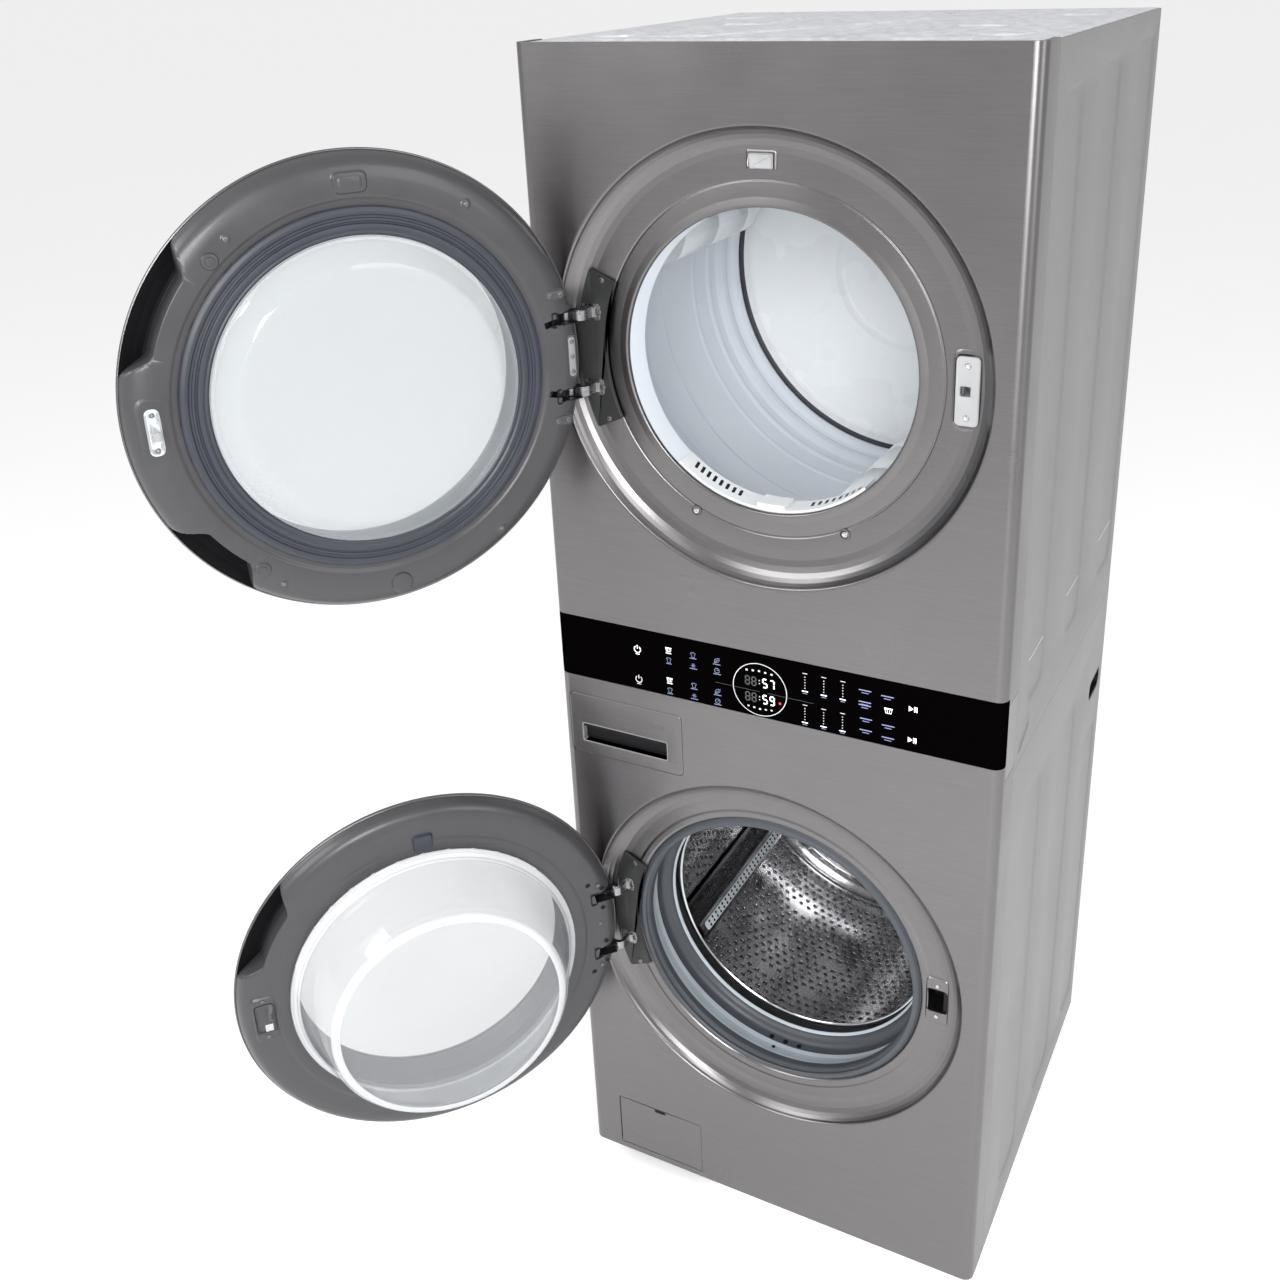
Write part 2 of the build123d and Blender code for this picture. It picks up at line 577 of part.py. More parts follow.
def dryer_works():
    """Bulkhead, drum, back wall, rollers, belt, motor, blower, ducts and lint filter."""
    base = block((-SIDE + 2, SIDE - 2), (FRONT + WRAP + 4, REAR - 3), (1079, 1080.5))
    for x in (-SIDE + 18, SIDE - 19.5):
        base += block((x, x + 1.5), (FRONT + WRAP + 4, REAR - 3), (1066, 1080.5))

    half = SIDE - 16
    plate = block((-half, half), (-320, -318), (1090, 1872))
    plate -= rod_y(0, DRYER_Z, 206, -330, -300)
    collar = tube_y(0, DRYER_Z, 209, 206, -320, -276)
    wall = tube_y(0, DRYER_Z, 313, 206, -279, -276)
    bulkhead = plate + collar + wall
    bulkhead -= block((-112, 112), (-311, -292), (DRYER_Z - 230, DRYER_Z - 170))
    z = DRYER_Z + LATCH_DROP
    bulkhead -= block((LATCH_X - 16, LATCH_X + 16), (-330, -310), (z - 24, z + 24))
    add("dryer_bulkhead", without_screws(bulkhead))

    outer, groove = DRYER_DRUM_R, DRYER_DRUM_R - 4
    drum = [(316, DRYER_DRUM_FRONT), (outer, -262), (outer, -80), (groove, -74), (groove, -10),
            (outer, -4), (outer, 256), (318, DRYER_DRUM_REAR)]
    add("dryer_drum", Pos(0, 0, DRYER_Z) * turned(thick_line(drum, -SHEET)))
    lifters = []
    for turn in (0, 120, 240):
        fin = Plane.XZ * make_face(Polyline((-62, 319.5), (-18, 262), (18, 262), (62, 319.5), close=True))
        lifter = Pos(0, -225, 0) * extrude(fin, amount=-440)
        lifter &= rod_y(0, 0, 319.5, -300, 300)
        inside = Plane.XZ * make_face(Polyline((-56, 318), (-15, 265), (15, 265), (56, 318), close=True))
        lifter -= Pos(0, -222, 0) * extrude(inside, amount=-434)
        lifters.append(Pos(0, 0, DRYER_Z) * Rot(0, turn + 52, 0) * lifter)
    add("dryer_lifters", Compound(lifters))

    back = [(0, 262), (120, 262), (135, 268), (290, 268), (334, 268)]
    disc = Pos(0, 0, DRYER_Z) * turned(thick_line(back, -1.2))
    add("drum_back", disc)

    stands = []
    for side, sign in (("left", -1), ("right", 1)):
        reach = DRYER_DRUM_R + ROLLER_GAP + ROLLER_R
        x = sign * reach * math.sin(math.radians(ROLLER_ANGLE))
        z = DRYER_Z - reach * math.cos(math.radians(ROLLER_ANGLE))
        wheel = tube_y(x, z, ROLLER_R, 6 + RUNNING, 226, 246)
        add("drum_roller_" + side, wheel)
        stand = rod_y(x, z, 6, 222, 250) + rod_y(x, z, 10, 250, 262)
        foot_x = sorted((x - 12, x + 12))
        stand += block(foot_x, (253, 258), (1080.5, z))
        stands.append(stand)
    for stand in stands:
        base += stand
    add("dryer_base", base)

    hub = Pos(0, DRYER_Z) * Circle(DRYER_DRUM_R + 0.4)
    pulley = Pos(MOTOR_X, MOTOR_Z) * Circle(PULLEY_R + 0.4)
    hub_out = Pos(0, DRYER_Z) * Circle(DRYER_DRUM_R + 0.4 + BELT_THICK)
    pulley_out = Pos(MOTOR_X, MOTOR_Z) * Circle(PULLEY_R + 0.4 + BELT_THICK)
    inner = make_hull(hub.edges() + pulley.edges())
    outer = make_hull(hub_out.edges() + pulley_out.edges())
    belt = Plane.XZ * (outer - inner)
    add("drum_belt", Pos(0, BELT_Y - BELT_WIDTH / 2, 0) * extrude(belt, amount=-BELT_WIDTH))

    motor = rod_y(MOTOR_X, MOTOR_Z, MOTOR_R, -140, 40)
    motor -= rod_y(MOTOR_X, MOTOR_Z, MOTOR_SHAFT_R + RUNNING, -200, 100)
    cradle = block((MOTOR_X - 50, MOTOR_X + 50), (-120, -105), (1080.5, MOTOR_Z - 30))
    cradle += block((MOTOR_X - 50, MOTOR_X + 50), (10, 25), (1080.5, MOTOR_Z - 30))
    motor += cradle
    # The tension arm stands on the base and holds the idler's axle, below the belt's lower run.
    idler_x, idler_z = below_belt(IDLER_R + ROLLER_GAP)
    arm = block((idler_x - 9, idler_x + 9), (40, 46), (1080.5, idler_z + 9))
    arm += rod_y(idler_x, idler_z, 5, 46, 72)
    motor = Compound([motor, arm])
    add("dryer_motor", motor)
    add("idler_pulley", tube_y(idler_x, idler_z, IDLER_R, 5 + RUNNING, 50, 70))

    shaft = rod_y(MOTOR_X, MOTOR_Z, MOTOR_SHAFT_R, -272, 72)
    wheel = rod_y(MOTOR_X, MOTOR_Z, 60, -205, -202) + rod_y(MOTOR_X, MOTOR_Z, 12, -265, -202)
    for index in range(12):
        blade = block((30, 60), (-265, -205), (-1, 1))
        wheel += Pos(MOTOR_X, 0, MOTOR_Z) * Rot(0, index * 30, 0) * blade
    wheel += tube_y(MOTOR_X, MOTOR_Z, 60, 30, -267, -264)
    wheel += rod_y(MOTOR_X, MOTOR_Z, PULLEY_R, 54, 66)
    add("blower_wheel", shaft + wheel)

    duct = block((-118, 118), (-316, -288), (1084, 1270))
    duct += block((100, 283), (-316, -288), (1084, 1216))
    duct -= block((-116, 116), (-314, -290), (1086, 1275))
    duct -= block((98, 281), (-314, -290), (1086, 1214))
    duct -= rod_y(MOTOR_X, MOTOR_Z, 45, -300, -280)
    scroll = rod_y(MOTOR_X, MOTOR_Z, 68, -286, -195)
    outlet = block((EXHAUST_X, MOTOR_X - 30), (-284, -198), (1083, 1128))
    cavity = rod_y(MOTOR_X, MOTOR_Z, 65.5, -283.5, -197.5)
    bore = block((EXHAUST_X, MOTOR_X - 30), (-281.5, -200.5), (1085.5, 1125.5))
    pipe = rod_y(EXHAUST_X, EXHAUST_Z, EXHAUST_R - 0.6, -284, REAR)
    pipe += rod_y(EXHAUST_X, EXHAUST_Z, EXHAUST_R, REAR - 4, REAR + 26)
    pipe_bore = rod_y(EXHAUST_X, EXHAUST_Z, EXHAUST_R - 1.8, -281, REAR + 30)
    housing = scroll + outlet + pipe - cavity - bore - pipe_bore
    housing -= rod_y(MOTOR_X, MOTOR_Z, 45, -290, -280)
    housing -= rod_y(MOTOR_X, MOTOR_Z, MOTOR_SHAFT_R + 1, -200, -190)
    heater = block((-150, 150), (276, 336), (1170, 1420)) - block((-148, 148), (278, 334), (1172, 1418))
    add("air_ducts", Compound([duct, housing, heater]))

    lip = tube_y(0, DRYER_Z, 205.5, 201.5, -319, -280)
    lip &= Pos(0, 0, DRYER_Z) * wedge(228, 312, 500, -330, -270)
    screen = block((-105, 105), (-307, -297), (DRYER_Z - 378, DRYER_Z - 190))
    screen -= block((-98, 98), (-309, -304), (DRYER_Z - 372, DRYER_Z - 212))
    screen -= block((-98, 98), (-300, -296), (DRYER_Z - 372, DRYER_Z - 212))
    filter_top = block((-20, 20), (-316, -284), (DRYER_Z - 202.5, DRYER_Z - 194))
    inner_bore = rod_y(0, DRYER_Z, 201.5, -330, -270) - rod_y(0, DRYER_Z, 196, -335, -265)
    lint = lip + (screen - rod_y(0, DRYER_Z, 201.5, -330, -270)) + (filter_top & inner_bore)
    add("lint_filter", lint)


# ---- Washer works -------------------------------------------------------------------------
def washer_works():
    """Gasket, tub, drum, direct drive, suspension, pump, drawer and valves."""
    lip = [(246, -316), (240, -318.5), (236.5, -322), (233, -326), (228, -327), (224, -322),
           (223, -310), (223, -302), (231, -286), (236, -272), (236, -250), (226, -246), (216, -236)]
    add("door_gasket", Pos(0, 0, WASHER_Z) * turned(thick_line(lip, 4.0)))

    mouth_r = 241.5
    hub_r = SHAFT_R + RUNNING
    tub = turned([(mouth_r, TUB_FRONT), (TUB_R, TUB_FRONT), (TUB_R, TUB_REAR), (hub_r, TUB_REAR),
                  (hub_r, TUB_REAR - 6), (TUB_R - 5, TUB_REAR - 6), (TUB_R - 5, TUB_FRONT + 5),
                  (mouth_r, TUB_FRONT + 5)])
    add("washer_tub", Pos(0, 0, WASHER_Z) * tub)

    front, rear, outer, skin = WASHER_DRUM_FRONT, WASHER_DRUM_REAR, WASHER_DRUM_R, 1.2
    drum = turned([(216.5, front), (262, front - 4), (outer, front + 8), (outer, rear - 8),
                   (264, rear), (0, rear), (0, rear - skin), (263, rear - skin),
                   (outer - skin, rear - 9), (outer - skin, front + 9), (261.5, front - 2.8),
                   (216.5, front + skin)])
    parts = [Pos(0, 0, WASHER_Z) * drum]
    for turn in (0, 120, 240):
        fin = Plane.XZ * make_face(Polyline((-34, 268), (-16, 222), (16, 222), (34, 268), close=True))
        lifter = Pos(0, front + 15, 0) * extrude(fin, amount=-410)
        inside = Plane.XZ * make_face(Polyline((-32, 268), (-15, 224), (15, 224), (32, 268), close=True))
        lifter -= Pos(0, front + 17, 0) * extrude(inside, amount=-406)
        parts.append(Pos(0, 0, WASHER_Z) * Rot(0, turn - 2, 0) * lifter)
    add("washer_drum", Compound(parts))

    spider = rod_y(0, 0, 42, WASHER_DRUM_REAR + 0.1, WASHER_DRUM_REAR + 18)
    for turn in (0, 120, 240):
        arm = block((0, 255), (WASHER_DRUM_REAR + 0.1, WASHER_DRUM_REAR + 14), (-16, 16))
        spider += Rot(0, turn, 0) * arm
    spider += rod_y(0, 0, SHAFT_R, WASHER_DRUM_REAR + 10, 318)
    add("drum_spider", Pos(0, 0, WASHER_Z) * spider)

    rotor = tube_y(0, 0, 133, 127, 270, 306) + tube_y(0, 0, 133, hub_r, 306, 309)
    rotor += tube_y(0, 0, 26, hub_r, 304, 314)
    add("motor_rotor", Pos(0, 0, WASHER_Z) * rotor)
    stator = tube_y(0, 0, 92, 60, 268, 300)
    for index in range(18):
        pole = block((90, 125), (272, 298), (-6, 6))
        stator += Rot(0, index * 20, 0) * pole
    stator &= rod_y(0, 0, 125, 260, 310)
    stator += tube_y(0, 0, 70, 60, TUB_REAR + 0.1, 268)
    add("motor_stator", Pos(0, 0, WASHER_Z) * stator)

    weights = []
    ring = tube_y(0, 0, 286, 249, -296, TUB_FRONT - 0.1)
    for middle in (90, 270):
        weights.append(Pos(0, 0, WASHER_Z) * (ring & wedge(middle - 52, middle + 52, 500, -310, -240)))
    add("counterweights", Compound(weights))

    legs = []
    for sign in (-1, 1):
        spring = rod_z(sign * 306, 0, 12, WASHER_Z + 110, SEAM_Z - 60)
        hook = rod_z(sign * 306, 0, 4, SEAM_Z - 60, SEAM_Z - 6)
        ear = block(sorted((sign * 293, sign * 320)), (-12, 12), (WASHER_Z + 96, WASHER_Z + 110))
        legs.append(spring + hook + ear)
        foot_z = FOOT_GAP + 9.4
        tub_z = WASHER_Z - math.sqrt(TUB_R**2 - 170**2)
        damper = rod_z(sign * 170, 20, 8.5, foot_z, foot_z + 90)
        damper += rod_z(sign * 170, 20, 14, foot_z + 24, tub_z - 26)
        legs.append(damper)
    add("tub_suspension", Compound(legs))

    pump = rod_y(PUMP_X, PUMP_Z, 40, -322, -190)
    pump += rod_y(PUMP_X, PUMP_Z, 30, -190, -130)
    pump += rod_z(PUMP_X, -210, 16, PUMP_Z + 30, PUMP_Z + 70)
    pump += block((PUMP_X - 36, PUMP_X + 36), (-220, -140), (FOOT_GAP + 5, PUMP_Z - 25))
    pump -= rod_y(PUMP_X, PUMP_Z, PUMP_BORE_R, -330, -230)
    add("drain_pump", pump)
    cap = rod_y(PUMP_X, PUMP_Z, PUMP_BORE_R - 0.3, -326, -312) + rod_y(PUMP_X, PUMP_Z, 28, -312, -300)
    cap += block((PUMP_X - 4, PUMP_X + 4), (-336, -326), (PUMP_Z - 26, PUMP_Z + 26))
    cap += tube_y(PUMP_X, PUMP_Z, 26, 23, -301, -240)
    for turn in (0, 60, 120):
        window = block((-30, 30), (-290, -250), (-6, 6))
        cap -= Pos(PUMP_X, 0, PUMP_Z) * Rot(0, turn, 0) * window
    cap += tube_y(PUMP_X, PUMP_Z, 26, 23, -246, -240)
    add("pump_filter", cap)

    cover = capsule_prism(sum(COVER_X) / 2, sum(COVER_Z) / 2, COVER_X[1] - COVER_X[0],
                          COVER_Z[1] - COVER_Z[0], 3, FRONT, FRONT + 2.5)
    cover -= capsule_prism(PUMP_X, COVER_Z[1] - 5, 20, 5, 2, FRONT - 1, FRONT + 1.2)
    for x, pin_x in ((COVER_X[0] + 8, (COVER_X[0] - 5.5, COVER_X[0] + 9)),
                     (COVER_X[1] - 12, (COVER_X[1] - 9, COVER_X[1] + 5.5))):
        cover += block((x, x + 4), (FRONT + 2, FRONT + 6), (COVER_PIN_Z - 3, COVER_PIN_Z + 3))
        cover += rod_x(COVER_PIN_Y, COVER_PIN_Z, COVER_PIN_R, *pin_x)
    add("filter_cover", cover)


def detergent_unit():
    """Housing, drawer with three compartments, and the water valves behind."""
    x_low, x_high = DRAWER_X
    z_low, z_high = DRAWER_Z
    front = capsule_prism((x_low + x_high) / 2, (z_low + z_high) / 2, x_high - x_low, z_high - z_low,
                          8, FRONT, FRONT + 14)
    slot = capsule_prism(-235, 875, 146, 30, 3, FRONT - 1, FRONT + 11)
    slot += block((-302, -168), (FRONT + 5, FRONT + 11), (870, 902))
    front -= slot
    wall = 2.0
    inner_x = (x_low + 8, x_high - 8)
    tray_z = (z_low + 8, z_high - 20)
    tray = block(inner_x, (FRONT + 13, FRONT + 300), tray_z)
    splits = (inner_x[0] + 52, inner_x[0] + 104)
    bays = ((inner_x[0] + wall, splits[0]), (splits[0] + wall, splits[1]),
            (splits[1] + wall, inner_x[1] - wall))
    for bay in bays:
        tray -= block(bay, (FRONT + 20, FRONT + 298), (tray_z[0] + wall, tray_z[1] + 1))
    add("detergent_drawer", front + tray)

    gap = 1.5
    out = block((inner_x[0] - gap - 2, inner_x[1] + gap + 2), (FRONT + 15.5, FRONT + 315),
                (tray_z[0] - gap - 2, tray_z[1] + 14))
    out -= block((inner_x[0] - gap, inner_x[1] + gap), (FRONT + 10, FRONT + 311),
                 (tray_z[0] - gap, tray_z[1] + 11))
    out += rod_z(-232, -60, 16, 800, tray_z[0] - gap - 1)
    add("drawer_housing", out)

    valves = None
    for x in (-250, -190):
        stub = rod_y(x, 880, 13.2, REAR - 30, REAR + 24) - rod_y(x, 880, 9, REAR - 25, REAR + 30)
        stub += rod_y(x, 880, 16, REAR - 36, REAR - 8) - rod_y(x, 880, 9, REAR - 25, REAR + 30)
        coil = rod_z(x, REAR - 24, 15, 893, 925)
        valves = stub + coil if valves is None else valves + stub + coil
    valves += block((-250, -190), (REAR - 34, REAR - 10), (872, 888))
    for x in (-250, -190):
        valves -= rod_y(x, 880, 9, REAR - 25, REAR + 30)
    drain = rod_y(-100, 880, 14, REAR - 40, REAR + 30) - rod_y(-100, 880, 11, REAR - 45, REAR + 35)
    add("water_fittings", Compound([valves, drain]))


cabinet_shell()
front_panels()
rear_panels()
control_band()
door_fittings()
dryer_door()
washer_door()
dryer_works()
washer_works()
detergent_unit()

os.makedirs("parts", exist_ok=True)
for name, shape in nodes.items():
    export_step(shape, os.path.join("parts", name + ".step"))
print(len(nodes), "nodes written")
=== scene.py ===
"""Looks of a washer and dryer tower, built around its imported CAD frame.

Lengths are in millimetres, in the part's frame: +X right, the front faces -Y, +Z up.
publish() turns them into metres. Door pieces are made as if shut, then turned to their rest pose.
"""

import json
import math

import bmesh
import bpy
from mathutils import Matrix, Vector
from mathutils.geometry import delaunay_2d_cdt


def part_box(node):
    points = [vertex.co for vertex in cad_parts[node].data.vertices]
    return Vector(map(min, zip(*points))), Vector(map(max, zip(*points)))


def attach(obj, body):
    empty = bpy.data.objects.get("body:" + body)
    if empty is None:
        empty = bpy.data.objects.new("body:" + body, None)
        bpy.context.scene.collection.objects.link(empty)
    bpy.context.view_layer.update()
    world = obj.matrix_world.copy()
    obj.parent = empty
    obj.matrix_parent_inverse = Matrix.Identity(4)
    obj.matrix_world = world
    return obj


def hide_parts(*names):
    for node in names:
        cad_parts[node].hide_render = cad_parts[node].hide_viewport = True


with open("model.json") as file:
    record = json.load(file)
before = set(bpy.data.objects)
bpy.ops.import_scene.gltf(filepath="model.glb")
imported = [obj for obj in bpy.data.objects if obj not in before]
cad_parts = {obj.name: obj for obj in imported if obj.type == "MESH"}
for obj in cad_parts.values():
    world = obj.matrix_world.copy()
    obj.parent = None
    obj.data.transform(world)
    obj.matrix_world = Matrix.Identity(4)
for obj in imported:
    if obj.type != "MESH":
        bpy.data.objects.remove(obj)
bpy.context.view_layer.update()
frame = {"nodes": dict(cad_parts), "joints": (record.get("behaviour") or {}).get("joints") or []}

MM = 0.001
joints = {joint["name"]: joint for joint in frame["joints"]}


def corners(node):
    """Lowest and highest corner of a CAD node, in millimetres."""
    low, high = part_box(node)
    return low / MM, high / MM


# ---- Places taken from the frame ----------------------------------------------------------
FRONT = corners("control_glass")[0].y
SIDE = corners("control_glass")[1].x
REAR = corners("dryer_side_right")[1].y
TOP = corners("dryer_front_panel")[1].z
BOTTOM = corners("washer_front_panel")[0].z
GLASS_LOW, GLASS_HIGH = corners("control_glass")[0].z, corners("control_glass")[1].z
SEAM = corners("washer_side_right")[1].z
WRAP_END = corners("dryer_front_panel")[1].y
HINGE = Vector(joints["dryer_door_hinge"]["pos_m"]) / MM
DRYER_Z = HINGE.z
WASHER_Z = joints["washer_door_hinge"]["pos_m"][2] / MM
DRYER_OPEN = -joints["dryer_door_hinge"]["range_deg"][0]
WASHER_OPEN = -joints["washer_door_hinge"]["range_deg"][0]

# ---- Driving sizes of the looks; a depth counts from the front plane ------------------------
CORNER_R = 15.0
SHEET = 1.0
GAP = 1.0
CAP_START = 16.0
CAP_LOW, CAP_HIGH = 948.0, 1064.0
DISH_R = 309.0
DRYER_HOLE_R = 204.5
WASHER_HOLE_R = 238.0
RIM_R = 296.0
PULL_DEPTH = 32.0
ARM_OFFSETS = (-53, 53)
DISH_SCREW_R = 245.0
DISH_SCREW_XS = (-110, 110)
CATCH = (267.5, DRYER_Z - 3)
LOCK = (263, WASHER_Z + 4)
HOOK = (258, WASHER_Z + 4)
LAMP = (-4, DRYER_Z + 261.5)
DRAWER = (-232, 890)
COVER = (-208.5, 94)
COVER_PIN = (FRONT + 4.2, 47)
GLAND = (250, 1700)
FIN_MADE_AT = 90  # lifters are made pointing up, then turned to their own angles
DRYER_FIN_ANGLES = (38, 158, 278)
WASHER_FIN_ANGLES = (92, 212, 332)
FINE = 288
HALF_TURN = Matrix.Rotation(math.pi, 4, "Z")


# ---- Outlines -----------------------------------------------------------------------------
def soften(points, radius, steps=4, closed=False):
    """Round an outline's corners, each by the radius or by what its sides leave room for."""
    result = []
    count = len(points)
    for index, point in enumerate(points):
        here = Vector(point)
        if not closed and index in (0, count - 1):
            result.append((here.x, here.y))
            continue
        back = Vector(points[index - 1]) - here
        ahead = Vector(points[(index + 1) % count]) - here
        angle = back.angle(ahead)
        if angle > math.radians(177):
            result.append((here.x, here.y))
            continue
        reach = min(radius / math.tan(angle / 2), 0.48 * back.length, 0.48 * ahead.length)
        start = here + back.normalized() * reach
        end = here + ahead.normalized() * reach
        for step in range(steps + 1):
            t = step / steps
            spot = start * (1 - t) ** 2 + here * 2 * t * (1 - t) + end * t**2
            result.append((spot.x, spot.y))
    return result


def circle(x, z, radius, steps=32, start=0.0):
    """Points of a circle."""
    turns = [math.radians(start) + math.tau * i / steps for i in range(steps)]
    return [(x + radius * math.cos(turn), z + radius * math.sin(turn)) for turn in turns]


def rounded(x, z, width, height, radius, steps=4):
    """Points of a rounded rectangle about a middle."""
    half_x, half_z = width / 2, height / 2
    square = [(x - half_x, z - half_z), (x + half_x, z - half_z),
              (x + half_x, z + half_z), (x - half_x, z + half_z)]
    return soften(square, radius, steps, closed=True)


def grown(outline, amount):
    """The outline moved outwards by an amount."""
    count = len(outline)
    area = sum(outline[i - 1][0] * outline[i][1] - outline[i][0] * outline[i - 1][1]
               for i in range(count))
    sign = 1 if area > 0 else -1
    result = []
    for index in range(count):
        before = Vector(outline[index]) - Vector(outline[index - 1])
        after = Vector(outline[(index + 1) % count]) - Vector(outline[index])
        along = before.normalized() + after.normalized()
        normal = Vector((along.y, -along.x)).normalized() * sign
        result.append((outline[index][0] + normal.x * amount, outline[index][1] + normal.y * amount))
    return result


def polar(radius, angle, x=0.0, z=0.0):
    """X and Z at a radius and an angle from +X towards +Z."""
    turn = math.radians(angle)
    return x + radius * math.cos(turn), z + radius * math.sin(turn)


def ribbon(path, thickness):
    """Outline of a band of even thickness along a path."""
    left, right = [], []
    for index, point in enumerate(path):
        before = Vector(path[max(index - 1, 0)])
        after = Vector(path[min(index + 1, len(path) - 1)])
        along = (after - before).normalized()
        normal = Vector((-along.y, along.x)) * thickness / 2
        left.append((point[0] + normal.x, point[1] + normal.y))
        right.append((point[0] - normal.x, point[1] - normal.y))
    return left + right[::-1]


def inside(point, outline):
    """Whether a point lies in a closed outline."""
    x, y = point
    found = False
    for (ax, ay), (bx, by) in zip(outline, outline[1:] + outline[:1]):
        if (ay > y) != (by > y) and x < (bx - ax) * (y - ay) / (by - ay) + ax:
            found = not found
    return found


# ---- Mesh making --------------------------------------------------------------------------
def lathe(outline, x=0.0, z=0.0, arc=None, closed=True, steps=FINE):
    """Turn an outline of (radius, y) points about an axis along Y, all round or over an arc."""
    bm = bmesh.new()
    low, high = arc or (0, 360)
    spans = steps if arc is None else max(2, round(steps * (high - low) / 360))
    rings = []
    for index in range(spans if arc is None else spans + 1):
        angle = low + (high - low) * index / spans
        rings.append([bm.verts.new((px, y, pz)) for (px, pz), y in
                      ((polar(radius, angle, x, z), y) for radius, y in outline)])
    count = len(outline)
    for index in range(spans):
        here, there = rings[index], rings[(index + 1) % len(rings)]
        for k in range(count if closed else count - 1):
            bm.faces.new((here[k], here[(k + 1) % count], there[(k + 1) % count], there[k]))
    if arc is not None and closed:
        bm.faces.new(rings[0])
        bm.faces.new(rings[-1][::-1])
    bmesh.ops.remove_doubles(bm, verts=bm.verts, dist=0.001)
    return bm


def slab(outline, low, high, axis="Y"):
    """Prism of a closed outline: (x, z) along Y, (x, y) along Z, or (y, z) along X."""
    places = {"Y": lambda u, v, h: (u, h, v), "Z": lambda u, v, h: (u, v, h), "X": lambda u, v, h: (h, u, v)}
    place = places[axis]
    bm = bmesh.new()
    lower = [bm.verts.new(place(u, v, low)) for u, v in outline]
    upper = [bm.verts.new(place(u, v, high)) for u, v in outline]
    bm.faces.new(lower)
    bm.faces.new(upper[::-1])
    for index in range(len(outline)):
        bm.faces.new((lower[index - 1], lower[index], upper[index], upper[index - 1]))
    return bm


def relief(outline, loops=(), holes=(), place=lambda u, v, h: (u, h, v)):
    """Open sheet inside an outline, with loops of (points, height) and without the holes.
    place(u, v, height) puts a point in space."""
    points, heights, edges = [], [], []
    drawn = [(outline, 0.0)] + list(loops) + [(hole, 0.0) for hole in holes]
    for loop, height in drawn:
        start = len(points)
        points += [Vector(point) for point in loop]
        heights += [height] * len(loop)
        edges += [(start + i, start + (i + 1) % len(loop)) for i in range(len(loop))]
    verts, _, faces, origins, _, _ = delaunay_2d_cdt(points, edges, [list(range(len(outline)))], 1, 1e-5)
    bm = bmesh.new()
    made = [bm.verts.new(place(v.x, v.y, heights[o[0]] if o else 0.0)) for v, o in zip(verts, origins)]
    for face in faces:
        middle = sum((verts[i] for i in face), Vector((0, 0))) / len(face)
        if not any(inside(middle, hole) for hole in holes):
            bm.faces.new([made[i] for i in face])
    loose = [v for v in bm.verts if not v.link_faces]
    bmesh.ops.delete(bm, geom=loose, context="VERTS")
    return bm


def strip(rows):
    """Open sheet between rows of points in space, all of one length."""
    bm = bmesh.new()
    made = [[bm.verts.new(point) for point in row] for row in rows]
    for upper, lower in zip(made, made[1:]):
        for k in range(len(upper) - 1):
            bm.faces.new((upper[k], upper[k + 1], lower[k + 1], lower[k]))
    return bm


def wall(outline, *depths):
    """Open wall that stands on a closed outline and runs through depths behind the front plane."""
    return strip([[(u, FRONT + depth, v) for u, v in outline + outline[:1]] for depth in depths])


def panel(depth, outline, loops=(), holes=(), rise=1):
    """Sheet across the front at a depth behind its plane; rise is the sense of the loops' heights."""
    return relief(outline, loops, holes, lambda u, v, h: (u, FRONT + depth + rise * h, v))


def plug(outline, depth):
    """Flat plate that fills an outline at a depth behind the front plane."""
    bm = bmesh.new()
    bm.faces.new([bm.verts.new((u, FRONT + depth, v)) for u, v in outline])
    return bm


def behind(points):
    """(radius, y) points whose y counts from the front plane, put in the part's frame."""
    return [(radius, FRONT + y) for radius, y in points]


def around(centre_z, angle):
    """Turn about a drum's axis that brings +X round towards +Z by an angle."""
    return Matrix.Translation((0, 0, centre_z)) @ Matrix.Rotation(math.radians(-angle), 4, "Y")


def joined(*meshes):
    """One mesh of several; the several are used up."""
    whole = bmesh.new()
    for bm in meshes:
        data = bpy.data.meshes.new("part")
        bm.to_mesh(data)
        bm.free()
        whole.from_mesh(data)
        bpy.data.meshes.remove(data)
    bmesh.ops.remove_doubles(whole, verts=whole.verts, dist=0.01)
    return whole


def repeated(make, spots):
    """One mesh of a small mesh placed by several matrices."""
    single = make()
    single.verts.index_update()
    points = [vert.co.copy() for vert in single.verts]
    faces = [[vert.index for vert in face.verts] for face in single.faces]
    single.free()
    placed_points, placed_faces = [], []
    for spot in spots:
        start = len(placed_points)
        placed_points += [spot @ point for point in points]
        placed_faces += [[start + index for index in face] for face in faces]
    data = bpy.data.meshes.new("copies")
    data.from_pydata(placed_points, [], placed_faces)
    whole = bmesh.new()
    whole.from_mesh(data)
    bpy.data.meshes.remove(data)
    return whole


def punched(bm, test):
    """The mesh without the faces whose middle passes a test."""
    gone = [face for face in bm.faces if test(face.calc_center_median())]
    bmesh.ops.delete(bm, geom=gone, context="FACES")
    return bm


def opened(centre_z, angle):
    """Turn from shut to the rest pose about the hinge line."""
    pivot = Vector((HINGE.x, HINGE.y, centre_z))
    swing = Matrix.Rotation(math.radians(-angle), 4, "Z")
    return Matrix.Translation(pivot) @ swing @ Matrix.Translation(-pivot)


door_turns = {"dryer_door": opened(DRYER_Z, DRYER_OPEN), "washer_door": opened(WASHER_Z, WASHER_OPEN)}


